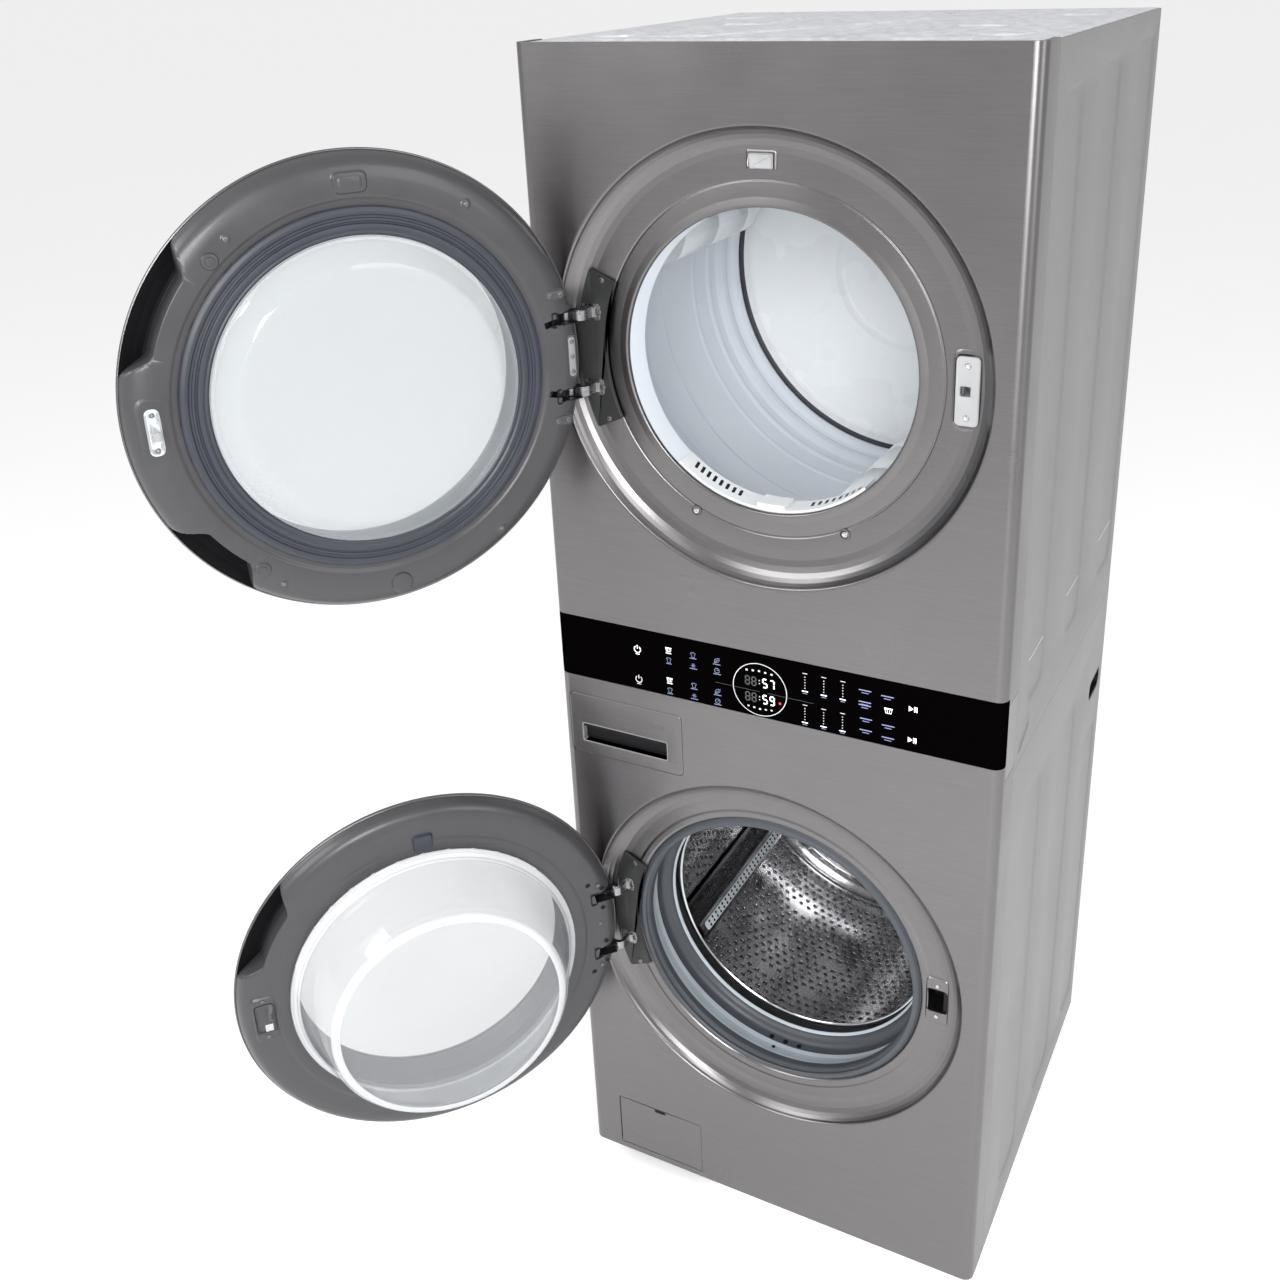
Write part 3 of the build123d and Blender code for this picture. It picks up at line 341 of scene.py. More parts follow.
def publish(name, bm, material, body, replaces=(), bevel=0.0, shell=0.0, sharp=32, fixed=False):
    """Make a piece of a mesh, in metres, riding on a body. shell is an open sheet's thickness, bevel the
    width of its softened edges and sharp the angle that keeps an edge crisp. fixed keeps the faces' sides."""
    if not fixed:
        bmesh.ops.recalc_face_normals(bm, faces=bm.faces)
    if body in door_turns:
        bm.transform(door_turns[body])
    bm.transform(Matrix.Scale(MM, 4))
    for face in bm.faces:
        face.smooth = True
    for edge in bm.edges:
        edge.smooth = edge.calc_face_angle(math.pi) < math.radians(sharp)
    data = bpy.data.meshes.new(name)
    bm.to_mesh(data)
    bm.free()
    data.materials.append(material)
    piece = bpy.data.objects.new(name, data)
    bpy.context.scene.collection.objects.link(piece)
    if shell:
        solid = piece.modifiers.new("shell", "SOLIDIFY")
        solid.thickness = abs(shell) * MM
        solid.offset = -1 if shell > 0 else 1
        solid.use_even_offset = True
    if bevel:
        edge = piece.modifiers.new("edges", "BEVEL")
        edge.width = bevel * MM
        edge.segments = 2
        edge.limit_method = "ANGLE"
        edge.angle_limit = math.radians(40)
        edge.harden_normals = True
    if replaces:
        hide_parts(*replaces)
    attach(piece, body)
    return piece


# ---- Materials ----------------------------------------------------------------------------
def blank(name, colour, rough, metal=0.0):
    """New material, its node tree and its shader."""
    material = bpy.data.materials.new(name)
    material.use_nodes = True
    shader = material.node_tree.nodes["Principled BSDF"]
    shader.inputs["Base Color"].default_value = (*colour, 1)
    shader.inputs["Roughness"].default_value = rough
    shader.inputs["Metallic"].default_value = metal
    return material, material.node_tree, shader


EVEN = (1, 1, 1)


def pattern(tree, scale, stretch=EVEN, detail=4.0, kind="noise"):
    """A noise or cell pattern fixed to the piece; scale is in cells per metre."""
    spots = tree.nodes.new("ShaderNodeTexCoord")
    mapping = tree.nodes.new("ShaderNodeMapping")
    mapping.inputs["Scale"].default_value = stretch
    tree.links.new(spots.outputs["Object"], mapping.inputs["Vector"])
    if kind == "noise":
        texture = tree.nodes.new("ShaderNodeTexNoise")
        texture.inputs["Detail"].default_value = detail
        output = texture.outputs["Fac"]
    else:
        texture = tree.nodes.new("ShaderNodeTexVoronoi")
        output = texture.outputs["Color"]
    texture.inputs["Scale"].default_value = scale
    tree.links.new(mapping.outputs["Vector"], texture.inputs["Vector"])
    return output


def spread(tree, source, low, high, target):
    """Drive a number by a pattern, between two values."""
    ranged = tree.nodes.new("ShaderNodeMapRange")
    ranged.inputs["From Min"].default_value = 0.3
    ranged.inputs["From Max"].default_value = 0.7
    ranged.inputs["To Min"].default_value = low
    ranged.inputs["To Max"].default_value = high
    tree.links.new(source, ranged.inputs["Value"])
    tree.links.new(ranged.outputs["Result"], target)


def tint(tree, source, first, second, target):
    """Drive a colour by a pattern, between two colours."""
    ramp = tree.nodes.new("ShaderNodeValToRGB")
    ramp.color_ramp.elements[0].position = 0.3
    ramp.color_ramp.elements[1].position = 0.7
    ramp.color_ramp.elements[0].color = (*first, 1)
    ramp.color_ramp.elements[1].color = (*second, 1)
    tree.links.new(source, ramp.inputs["Fac"])
    tree.links.new(ramp.outputs["Color"], target)


def bumpy(tree, shader, source, strength, depth):
    """Fine surface relief from a pattern; depth is in millimetres."""
    bump = tree.nodes.new("ShaderNodeBump")
    bump.inputs["Strength"].default_value = strength
    bump.inputs["Distance"].default_value = depth * MM
    tree.links.new(source, bump.inputs["Height"])
    tree.links.new(bump.outputs["Normal"], shader.inputs["Normal"])


def shades(colour, amount):
    """The colour made darker and lighter by a share."""
    return tuple(c * (1 - amount) for c in colour), tuple(c * (1 + amount) for c in colour)


def brushed(name, colour, rough, along=(0.02, 1, 1), lines=900, stretch=0.6):
    """Brushed sheet; the grain runs along the axis that is scaled down."""
    material, tree, shader = blank(name, colour, rough, 1.0)
    grain = pattern(tree, lines, along, 5)
    cloud = pattern(tree, 7, EVEN, 3)
    tint(tree, grain, *shades(colour, 0.05), shader.inputs["Base Color"])
    spread(tree, cloud, rough * 0.9, rough * 1.12, shader.inputs["Roughness"])
    bumpy(tree, shader, grain, 0.12, 0.02)
    shader.inputs["Anisotropic"].default_value = stretch
    upward = tree.nodes.new("ShaderNodeCombineXYZ")
    upward.inputs["Z"].default_value = 1.0
    to_world = tree.nodes.new("ShaderNodeVectorTransform")
    to_world.convert_from = "OBJECT"
    to_world.convert_to = "WORLD"
    tree.links.new(upward.outputs["Vector"], to_world.inputs["Vector"])
    tree.links.new(to_world.outputs["Vector"], shader.inputs["Tangent"])
    return material


def textured(name, colour, rough, metal, marks, share, wear, fine, relief):
    """Opaque surface. Marks are a pattern that tints it by a share and varies its roughness between
    the two factors of wear; fine is the pattern of its relief, which is (strength, depth)."""
    material, tree, shader = blank(name, colour, rough, metal)
    source = pattern(tree, *marks)
    tint(tree, source, *shades(colour, share), shader.inputs["Base Color"])
    spread(tree, source, rough * wear[0], rough * wear[1], shader.inputs["Roughness"])
    bumpy(tree, shader, source if fine == marks else pattern(tree, *fine), *relief)
    return material, shader


def moulded(name, colour, rough, grain=0.10, size=1400, coat=0.0, gloss=0.5):
    """Moulded plastic or rubber with a fine even grain and slight handling marks."""
    material, shader = textured(name, colour, rough, 0.0, (18, EVEN, 4), 0.06, (0.88, 1.15),
                                (size, EVEN, 2), (grain, 0.05))
    shader.inputs["Coat Weight"].default_value = coat
    shader.inputs["Specular IOR Level"].default_value = gloss
    return material


def sprayed(name, colour, rough, metal=0.0):
    """Painted or enamelled sheet with a faint orange peel."""
    orange_peel = (420, EVEN, 2)
    return textured(name, colour, rough, metal, (5, EVEN, 3), 0.03, (0.92, 1.1), orange_peel, (0.08, 0.03))[0]


def spangled(name, colour, rough):
    """Galvanised sheet with its crystal pattern."""
    crystals = (90, EVEN, 4, "cells")
    return textured(name, colour, rough, 0.55, crystals, 0.05, (0.8, 1.2), (30, EVEN, 4), (0.06, 0.05))[0]


def bare_metal(name, colour, rough, size=260):
    """Plain metal with fine scratches and patches of wear."""
    scratches = (size, (1, 0.15, 1), 6)
    return textured(name, colour, rough, 1.0, scratches, 0.08, (0.7, 1.4), scratches, (0.08, 0.03))[0]


def clear(name, colour, weight, rough=0.02, rim=0.0):
    """Glass that lets light through by a share and keeps its gloss; faint smears show in it.
    rim is how much less it lets through where it is seen edge-on, so that its grey colour shows there as
    painted shade on the edges."""
    material, tree, shader = blank(name, colour, rough)
    if rim:
        facing = tree.nodes.new("ShaderNodeLayerWeight")
        facing.inputs["Blend"].default_value = 0.35
        edge_on = tree.nodes.new("ShaderNodeMapRange")
        edge_on.inputs["To Min"].default_value = weight
        edge_on.inputs["To Max"].default_value = weight + rim
        tree.links.new(facing.outputs["Facing"], edge_on.inputs["Value"])
        tree.links.new(edge_on.outputs["Result"], shader.inputs["Alpha"])
    smears = pattern(tree, 6, (1, 1, 0.4), 1)
    spread(tree, smears, rough, rough * 1.6 + 0.01, shader.inputs["Roughness"])
    shader.inputs["Alpha"].default_value = weight
    shader.inputs["IOR"].default_value = 1.5
    shader.inputs["Coat Weight"].default_value = 0.6
    return material


def polished(name, colour, rough, gloss):
    """Opaque dark glass; gloss sets how much it mirrors."""
    material, tree, shader = blank(name, colour, rough)
    smears = pattern(tree, 9, (1, 1, 0.4), 5)
    spread(tree, smears, rough, rough * 1.6, shader.inputs["Roughness"])
    shader.inputs["Specular IOR Level"].default_value = gloss
    return material


def glowing(name, colour, strength):
    """Lit print behind the glass."""
    material, tree, shader = blank(name, colour, 0.4)
    uneven = pattern(tree, 60, detail=2)
    tint(tree, uneven, *shades(colour, 0.08), shader.inputs["Base Color"])
    shader.inputs["Emission Color"].default_value = (*colour, 1)
    shader.inputs["Emission Strength"].default_value = strength
    return material


graphite = brushed("graphite_steel", (0.192, 0.184, 0.186), 0.30)
side_paint = sprayed("side_paint", (0.255, 0.247, 0.25), 0.42, 0.6)
galvanised = spangled("galvanised", (0.75, 0.77, 0.80), 0.42)
black_glass = polished("black_glass", (0.0012, 0.0009, 0.001), 0.10, 0.0)
door_glass = clear("door_glass", (0.42, 0.45, 0.47), 0.16)
# The window and bowl glass grey over where seen edge-on: painted shade on their edges.
window_glass = clear("window_glass", (0.50, 0.54, 0.56), 0.24, rim=0.3)
bowl_glass = clear("bowl_glass", (0.52, 0.54, 0.56), 0.15, rim=0.34)
# Lighter, less see-through glass for the bowl's rims: a painted highlight of their bright edges.
highlit_rim_glass = clear("highlit_rim_glass", (0.80, 0.81, 0.83), 0.55)
frame_plastic = moulded("frame_plastic", (0.050, 0.049, 0.054), 0.36, 0.06, coat=0.1)
# Near-black plastic; it also fills holes, gaps, slots and wells as painted shade, where only shade would be
# seen.
black_plastic = moulded("black_plastic", (0.007, 0.007, 0.008), 0.5, gloss=0.2)
grey_plastic = moulded("grey_plastic", (0.23, 0.225, 0.228), 0.42)
pale_plastic = moulded("pale_plastic", (0.36, 0.365, 0.37), 0.38)
white_plastic = moulded("white_plastic", (0.78, 0.80, 0.81), 0.36)
seal_rubber = moulded("seal_rubber", (0.030, 0.034, 0.046), 0.40, 0.05)
lip_rubber = moulded("lip_rubber", (0.055, 0.062, 0.073), 0.45, 0.05)
gasket_rubber = moulded("gasket_rubber", (0.50, 0.56, 0.61), 0.42, 0.05)
belt_rubber = moulded("belt_rubber", (0.012, 0.012, 0.012), 0.7)
drum_enamel = sprayed("drum_enamel", (0.80, 0.84, 0.89), 0.30)
back_enamel = sprayed("back_enamel", (0.93, 0.945, 0.95), 0.28)
lifter_plastic = moulded("lifter_plastic", (0.70, 0.75, 0.79), 0.33)
lifter_white = moulded("lifter_white", (0.93, 0.95, 0.96), 0.30)
stainless = bare_metal("stainless", (0.55, 0.55, 0.56), 0.15, 60)
dark_metal = sprayed("dark_metal", (0.045, 0.046, 0.046), 0.30, 0.5)
arm_metal = bare_metal("arm_metal", (0.34, 0.34, 0.35), 0.28)
zinc = bare_metal("zinc", (0.55, 0.55, 0.56), 0.25)
dark_zinc = bare_metal("dark_zinc", (0.20, 0.195, 0.197), 0.30)
cast_alloy = bare_metal("cast_alloy", (0.50, 0.50, 0.50), 0.55, 90)
concrete = moulded("concrete", (0.33, 0.32, 0.30), 0.9, 0.6, 300)
tub_plastic = moulded("tub_plastic", (0.45, 0.46, 0.46), 0.6, 0.3)
lens_plastic = glowing("lens_plastic", (0.34, 0.34, 0.35), 0.02)
lit_white = glowing("lit_white", (0.95, 0.96, 1.0), 1.3)
print_white = glowing("print_white", (0.62, 0.62, 0.64), 0.25)
print_blue = glowing("print_blue", (0.22, 0.25, 0.42), 0.25)
print_dim = glowing("print_dim", (0.06, 0.06, 0.07), 0.05)
lit_red = glowing("lit_red", (0.75, 0.03, 0.03), 0.6)


# ---- Plain looks of the CAD nodes that show as they are -----------------------------------
node_looks = {
    galvanised: ["base_pan", "dryer_base", "air_ducts", "washer_rear_panel", "dryer_rear_panel", "top_cover"],
    black_plastic: ["foot_front_left", "foot_front_right", "foot_rear_left", "foot_rear_right",
                    "idler_pulley", "blower_wheel", "washer_lock"],
    side_paint: ["washer_side_left", "washer_side_right", "dryer_side_left", "dryer_side_right"],
    graphite: ["dryer_front_panel", "washer_front_panel", "dryer_door_ring", "washer_door_ring",
               "filter_cover"],
    black_glass: ["control_glass"],
    grey_plastic: ["control_housing", "detergent_drawer"],
    dark_metal: ["dryer_hinge", "washer_hinge", "tub_suspension"],
    pale_plastic: ["dryer_catch", "dryer_door_strike", "pump_filter"],
    white_plastic: ["lint_filter", "drain_pump", "drawer_housing", "water_fittings"],
    lens_plastic: ["drum_lamp"],
    zinc: ["cabinet_screws", "washer_door_hook"],
    drum_enamel: ["dryer_drum", "dryer_bulkhead"],
    lifter_plastic: ["dryer_lifters"],
    back_enamel: ["drum_back"],
    belt_rubber: ["drum_belt", "drum_roller_left", "drum_roller_right"],
    cast_alloy: ["dryer_motor", "drum_spider", "motor_rotor", "motor_stator"],
    stainless: ["washer_drum"],
    gasket_rubber: ["door_gasket"],
    tub_plastic: ["washer_tub"],
    concrete: ["counterweights"],
    frame_plastic: ["dryer_door_frame", "washer_door_frame"],
    seal_rubber: ["dryer_door_seal"],
    window_glass: ["dryer_door_window"],
    bowl_glass: ["washer_door_bowl"],
    door_glass: ["dryer_door_glass", "washer_door_glass"],
}
for look, names in node_looks.items():
    for node_name in names:
        data = frame["nodes"][node_name].data
        data.materials.clear()
        data.materials.append(look)


# ---- Cabinet skin -------------------------------------------------------------------------
def wrap_path(inset, y_end, y_start=None):
    """Plan points of the right-hand corner: from the flat front round the edge to the side."""
    radius = CORNER_R - inset
    centre = (SIDE - CORNER_R, FRONT + CORNER_R)
    if y_start is not None:
        return [(SIDE - inset, y_start), (SIDE - inset, y_end)]
    turns = [math.radians(angle) for angle in range(0, 91, 9)]
    path = [(centre[0] + radius * math.sin(turn), centre[1] - radius * math.cos(turn)) for turn in turns]
    path.append((SIDE - inset, y_end))
    return path


def side_return(levels, y_end, y_start=None):
    """Both rounded corners and side returns between heights, mirrored left and right."""
    path = wrap_path(0, y_end, y_start)
    sides = []
    for sign in (1, -1):
        sides.append(strip([[(sign * x, y, z) for x, y in path] for z in levels]))
    return sides


def flat_front(z_low, z_high, centre_z, holes=()):
    """Flat middle of a front panel, open round the dish and at the holes."""
    edge = SIDE - CORNER_R
    outline = [(-edge, z_low), (edge, z_low), (edge, z_high), (-edge, z_high)]
    dish = circle(0, centre_z, DISH_R, FINE)
    guards = [(circle(0, centre_z, DISH_R + 2, FINE), 0.0)]
    guards += [(grown(hole, 1.5), 0.0) for hole in holes]
    for x in (-edge + 2, edge - 2):
        low, high = z_low + 1, z_high - 1
        guards.append(([(x - 0.5, low), (x + 0.5, low), (x + 0.5, high), (x - 0.5, high)], 0.0))
    return panel(0, outline, guards, [dish, *holes])


def dish(outline, centre_z):
    """Pressed dish round an opening, from its rim inwards; y counts from the front plane."""
    return lathe(behind(soften(outline, 4, 4)), 0, centre_z, closed=False)


DISH_RIM = [(309, 0), (306.5, 0.4), (305, 2.2), (303.6, 5.2), (300.5, 9.2), (295.5, 13.6), (289, 17.6),
            (281, 20.6), (272, 22), (262, 22)]

dryer_dish = dish(DISH_RIM + [(240.8, 22.4), (239.8, 23.4), (238.2, 23.4), (237.2, 22.3), (218, 21),
                              (208, 19.2), (205.6, 20), (DRYER_HOLE_R, 24)], DRYER_Z)


def in_latch(p):
    """Whether a point of the dish is cut away for the lamp, the catch or the strike."""
    lamp = abs(p.x - LAMP[0]) < 16.5 and abs(p.z - LAMP[1] - 1.5) < 10
    catch = abs(p.x - 267) < 14 and abs(p.z - CATCH[1]) < 20
    return lamp or catch


def in_lock(p):
    """Whether a point of the dish is cut away for the door lock's mouth."""
    return abs(p.x - LOCK[0]) < 15 and abs(p.z - LOCK[1]) < 22


dryer_flat = flat_front(GLASS_HIGH + GAP, TOP, DRYER_Z)
top_fold = [strip([[(sign * x, y, TOP) for x, y in wrap_path(inset, WRAP_END)] for inset in (0, 2, 8)])
            for sign in (1, -1)]
top_fold.append(strip([[(x, FRONT + inset, TOP) for x in (-SIDE + CORNER_R, SIDE - CORNER_R)]
                       for inset in (0, 2, 8)]))
dryer_sides = side_return((GLASS_HIGH + GAP, GLASS_HIGH + 4, TOP - 3, TOP), WRAP_END)
dryer_sides += side_return((CAP_HIGH + GAP, GLASS_HIGH + GAP), WRAP_END, FRONT + CAP_START + 0.5)
publish("dryer_front_skin", joined(dryer_flat, punched(dryer_dish, in_latch), *top_fold, *dryer_sides),
        graphite, "cabinet", ["dryer_front_panel"], shell=SHEET, sharp=28)

washer_dish = dish(DISH_RIM + [(254, 22.2), (250, 20.8), (244, 20.6), (240.5, 21.4), (WASHER_HOLE_R, 24)],
                   WASHER_Z)
drawer_hole = rounded(*DRAWER, 194, 104, 9)
cover_hole = rounded(*COVER, 159, 104, 4)
washer_flat = flat_front(BOTTOM, GLASS_LOW - GAP, WASHER_Z, [drawer_hole, cover_hole])
washer_sides = side_return((BOTTOM, BOTTOM + 3, CAP_LOW - GAP), WRAP_END)
washer_sides += side_return((CAP_LOW - GAP, GLASS_LOW - GAP), FRONT + CAP_START - 0.5)
publish("washer_front_skin", joined(washer_flat, punched(washer_dish, in_lock), *washer_sides),
        graphite, "cabinet", ["washer_front_panel"], shell=SHEET, sharp=28)
holders = [slab([(x - 2, 43), (x + 2, 43), (x + 2, 51), (x - 2, 51)], FRONT + 1, FRONT + 7)
           for x in (-291, -126)]
publish("cover_pin_holders", joined(*holders), graphite, "cabinet", bevel=0.4)


def side_sheet(sign, z_low, z_high, channels, marks, slots):
    """Side sheet with shallow pressed channels; channels are (y_low, y_high, z_low, z_high)."""
    y_low, y_high = WRAP_END + 0.5, REAR
    outline = [(y_low, z_low), (y_high, z_low), (y_high, z_high), (y_low, z_high)]
    loops = []
    for a, b, c, d in channels:
        edge = rounded((a + b) / 2, (c + d) / 2, b - a, d - c, min(b - a, d - c) * 0.32, 8)
        loops += [(edge, 0.0), (grown(edge, -3), -0.7), (grown(edge, -7), -2.3), (grown(edge, -10), -2.6)]
    for path in marks:
        edge = soften(path, 6, 4, closed=True)
        loops += [(edge, 0.0), (grown(edge, -3), -1.6), (grown(edge, -4), -1.8)]
    for slot in slots:
        loops += [(grown(slot, 6), 0.0), (grown(slot, 3), 0.0), (grown(slot, 1.2), -0.6)]
    face = relief(outline, loops, slots, lambda u, v, h: (sign * (SIDE + h), u, v))
    fold = strip([[(sign * (SIDE + depth), *point) for point in outline + outline[:1]]
                  for depth in (0, -2, -14)])
    return joined(face, fold)


DRYER_CHANNELS = [(-234, -141, 1010, 1832), (-15, 80, 1010, 1846), (205, 319, 1010, 1858)]
WASHER_CHANNELS = [(-206, -92, 84, 842), (12, 133, 84, 842), (226, 322, 84, 700)]
grip = rounded(285, 781.5, 80, 33, 15, 8)
seam_mark = [(-262, 978), (-206, 1000), (-206, 972), (-262, 950)]
for side_name, sign in (("right", 1), ("left", -1)):
    dryer_side = side_sheet(sign, SEAM + 0.6, TOP - 2, DRYER_CHANNELS, [seam_mark], [])
    publish(f"dryer_side_skin_{side_name}", dryer_side, side_paint, "cabinet",
            [f"dryer_side_{side_name}"], shell=SHEET, sharp=24)
    publish(f"washer_side_skin_{side_name}", side_sheet(sign, BOTTOM, SEAM, WASHER_CHANNELS, [], [grip]),
            side_paint, "cabinet", [f"washer_side_{side_name}"], shell=SHEET, sharp=24)
    cup = grown(grip, 1.0)
    rows = [[(sign * x, y, z) for y, z in cup + cup[:1]] for x in (SIDE - 0.3, SIDE - 2, SIDE - 15)]
    back = [(sign * (SIDE - 15), y, z) for y, z in cup]
    lining = strip(rows)
    lining.faces.new([lining.verts.new(point) for point in back])
    publish(f"grip_cup_{side_name}", lining, black_plastic, "cabinet", shell=-1.0)
    seam = slab(rounded(sign * (SIDE - 4), 40, 5, 590, 1), SEAM - 0.2, SEAM + 0.8, "Z")
    publish(f"side_seam_{side_name}", seam, black_plastic, "cabinet")


def top_sheet():
    """Top cover: folded rim, cross ribs, raised loops at the corners and a fixing row at the front."""
    level = TOP - 1.2
    x_edge, y_low, y_high = SIDE - 3.5, FRONT + 10, REAR
    outline = [(-x_edge, y_low), (x_edge, y_low), (x_edge, y_high), (-x_edge, y_high)]
    loops = []

    def raised(edge, height=2.0):
        loops.extend([(edge, 0.0), (grown(edge, -2.5), height * 0.75), (grown(edge, -5), height)])

    for x, width in ((-200, 96), (0, 150), (200, 96)):
        raised(rounded(x, -288, width, 26, 6), 1.6)
    raised([(-250, -235), (-120, -235), (60, 60), (60, 300), (20, 300), (20, 90), (-150, -195),
            (-250, -195)], 1.9)
    for x in (-262, 262):
        raised(rounded(x, -175, 70, 130, 34, 8), 1.9)
        raised(rounded(x, 225, 70, 130, 34, 8), 1.9)
    raised(rounded(190, 30, 70, 190, 12), 1.9)
    raised(rounded(-180, 120, 70, 230, 12), 1.9)
    holes = [circle(x, -316, 3.2, 16) for x in (-300, 300)] + [rounded(x, -318, 26, 5, 2) for x in (-90, 110)]
    loops += [(grown(hole, 1.2), 0.0) for hole in holes]
    loops = [(edge, min(height, 2.1)) for edge, height in loops]
    sheet = relief(outline, loops, holes, lambda u, v, h: (u, v, level + h))
    rim = strip([[(x, y, level - drop) for x, y in outline + outline[:1]] for drop in (0, 1.5, 9)])
    rear_fold = strip([[(x, REAR - 0.3, z) for x in (15.5 - SIDE, SIDE - 15.5)]
                       for z in (level - 8, TOP - 29.2)])
    return joined(sheet, rim, rear_fold)


publish("top_skin", top_sheet(), galvanised, "cabinet", ["top_cover"], shell=0.8, sharp=26)
# Black sheet under the top cover, seen through its holes and edge gaps: painted shade of the cabinet's
# inside.
publish("top_gap_shade", slab(rounded(0, 4, 2 * SIDE - 4, 678, 4), TOP - 10, TOP - 8, "Z"), black_plastic,
        "cabinet")


def back_sheet(z_low, z_high, ribs, openings):
    """Rear sheet with cross ribs, kept flat round its openings."""
    x_edge = SIDE - 15.5
    outline = [(-x_edge, z_low), (x_edge, z_low), (x_edge, z_high), (-x_edge, z_high)]
    loops = []
    for x, z, width, height in ribs:
        edge = rounded(x, z, width, height, min(width, height) * 0.45, 6)
        loops += [(edge, 0.0), (grown(edge, -3), -1.6), (grown(edge, -5), -2.0)]
    return relief(outline, loops, openings, lambda u, v, h: (u, REAR + h, v))


washer_ribs = [(0, z, 560, 36) for z in (120, 240, 760)] + [(0, z, 300, 36) for z in (370, 500, 630)]
washer_openings = [circle(x, z, 12, 24) for x in (-200, 200) for z in (370, 630)]
washer_openings += [circle(x, 880, r, 24) for x, r in ((-250, 17), (-190, 17), (-100, 16))]
dryer_ribs = [(60, z, 440, 36) for z in (1060, 1150)] + [(0, z, 560, 36) for z in (1290, 1400, 1510, 1620)]
dryer_ribs.append((-60, 1740, 420, 36))
publish("washer_back_skin", back_sheet(BOTTOM + 32, SEAM - 1, washer_ribs, washer_openings), galvanised,
        "cabinet", ["washer_rear_panel"], shell=1.0, sharp=26)
dryer_openings = [circle(-205, 1145, 53.8, 64), circle(*GLAND, 11, 24)]
dryer_back = back_sheet(SEAM + 1.6, TOP - 30, dryer_ribs, dryer_openings)
gland = lathe([(20, REAR + 0.2), (20, REAR + 3), (18.5, REAR + 4), (12, REAR + 4), (11, REAR + 3),
               (11, REAR - 3)], *GLAND, closed=False, steps=48)
publish("dryer_back_skin", dryer_back, galvanised, "cabinet", ["dryer_rear_panel"], shell=1.0,
        sharp=26)
publish("cable_gland", gland, black_plastic, "cabinet", shell=1.0)
back_bolts = [Matrix.Translation((x, REAR, z)) for x in (-310, 310) for z in range(90, 1860, 130)]
bolt_head = [(0, 1.8), (2.6, 1.6), (4.2, 0.9), (4.4, 0)]
publish("back_bolts", repeated(lambda: lathe(bolt_head, closed=False, steps=20), back_bolts), zinc, "cabinet")


# ---- Doors --------------------------------------------------------------------------------
def blend_in(value):
    """Smooth step from 0 to 1."""
    value = min(1.0, max(0.0, value))
    return value * value * (3 - 2 * value)


def frame_edge(angle, pockets):
    """Radius of a door frame's outer edge: drawn in at the hand recesses."""
    inward = 0.0
    for low, high in pockets:
        middle, half = (low + high) / 2, (high - low) / 2
        off = abs((angle - middle + 180) % 360 - 180)
        inward = max(inward, blend_in((half - off) / 7.5))
    return RIM_R - PULL_DEPTH * inward, inward


def door_frame(profile, centre_z, pockets, steps=900):
    """Moulded inner frame of a door; profile is (radius, y) from the inner edge outwards."""
    rows = []
    for index in range(steps + 1):
        angle = 360 * index / steps
        edge, inward = frame_edge(angle, pockets)
        row = []
        for radius, y in profile:
            if radius > edge:
                y = max(y, next(b for a, b in profile if a >= edge))
            row.append((min(radius, edge), y))
        last = row[-1]
        row.append((edge + 0.8, last[1] - 0.8))
        row.append((edge + 1.2, last[1] - 2.5))
        row.append((edge + 1.2, min(last[1] - 3, -9 - 20 * inward)))
        across, along = math.cos(math.radians(angle)), math.sin(math.radians(angle))
        rows.append([(r * across, FRONT + y, centre_z + r * along) for r, y in row])
    bm = strip(rows)
    bmesh.ops.remove_doubles(bm, verts=bm.verts, dist=0.005)
    return bm


def in_slots(centre_z):
    """Test for the part of a frame that the hinge arms pass through."""
    return lambda p: p.x < -251 and abs(abs(p.z - centre_z) - ARM_OFFSETS[1]) < 8.5 and p.y > FRONT - 12


def bump(outline, low, high, soft=1.6):
    """Low boss with a soft shoulder: an outline on the front, raised from low to high."""
    inner = grown(outline, -soft)
    top = grown(outline, -soft * 1.9)
    rings = ((grown(outline, soft * 0.6), low), (outline, low + 0.3), (inner, high - 0.3), (top, high))
    rows = [[(u, FRONT + y, v) for u, v in ring + ring[:1]] for ring, y in rings]
    bm = strip(rows)
    bm.faces.new([bm.verts.new((u, FRONT + high, v)) for u, v in top])
    bmesh.ops.remove_doubles(bm, verts=bm.verts, dist=0.005)
    return bm


def screw_head(radius=4.2, height=1.8, recess=1.0):
    """Pan-head screw seen from the front, its cross recess sunk in the head; the head faces -Y."""
    rim = [(radius, 0), (radius, -height * 0.45), (radius * 0.86, -height * 0.85), (radius * 0.55, -height)]
    bm = lathe(rim, closed=False, steps=32)
    wide, thin = radius * 0.5, radius * 0.15
    cross = [(thin, wide), (-thin, wide), (-thin, thin), (-wide, thin), (-wide, -thin), (-thin, -thin),
             (-thin, -wide), (thin, -wide), (thin, -thin), (wide, -thin), (wide, thin), (thin, thin)]
    top = relief(circle(0, 0, radius * 0.55, 32), [], [cross], lambda u, v, h: (u, -height, v))
    walls = strip([[(u, y, v) for u, v in cross + cross[:1]] for y in (-height, -height + recess)])
    floor_face = bmesh.new()
    floor_face.faces.new([floor_face.verts.new((u, -height + recess, v)) for u, v in cross])
    return joined(bm, top, walls, floor_face)


def at(x, y, z, turn=0.0, size=1.0):
    """Place on the front: y counts from the front plane, turned about Y."""
    return (Matrix.Translation((x, FRONT + y, z)) @ Matrix.Rotation(math.radians(turn), 4, "Y")
            @ Matrix.Scale(size, 4))


def into(x, y, z, turn=0.0, size=1.0):
    """The same place for a piece that faces +Y, as a door's inner side does when shut."""
    return at(x, y, z, turn, size) @ HALF_TURN


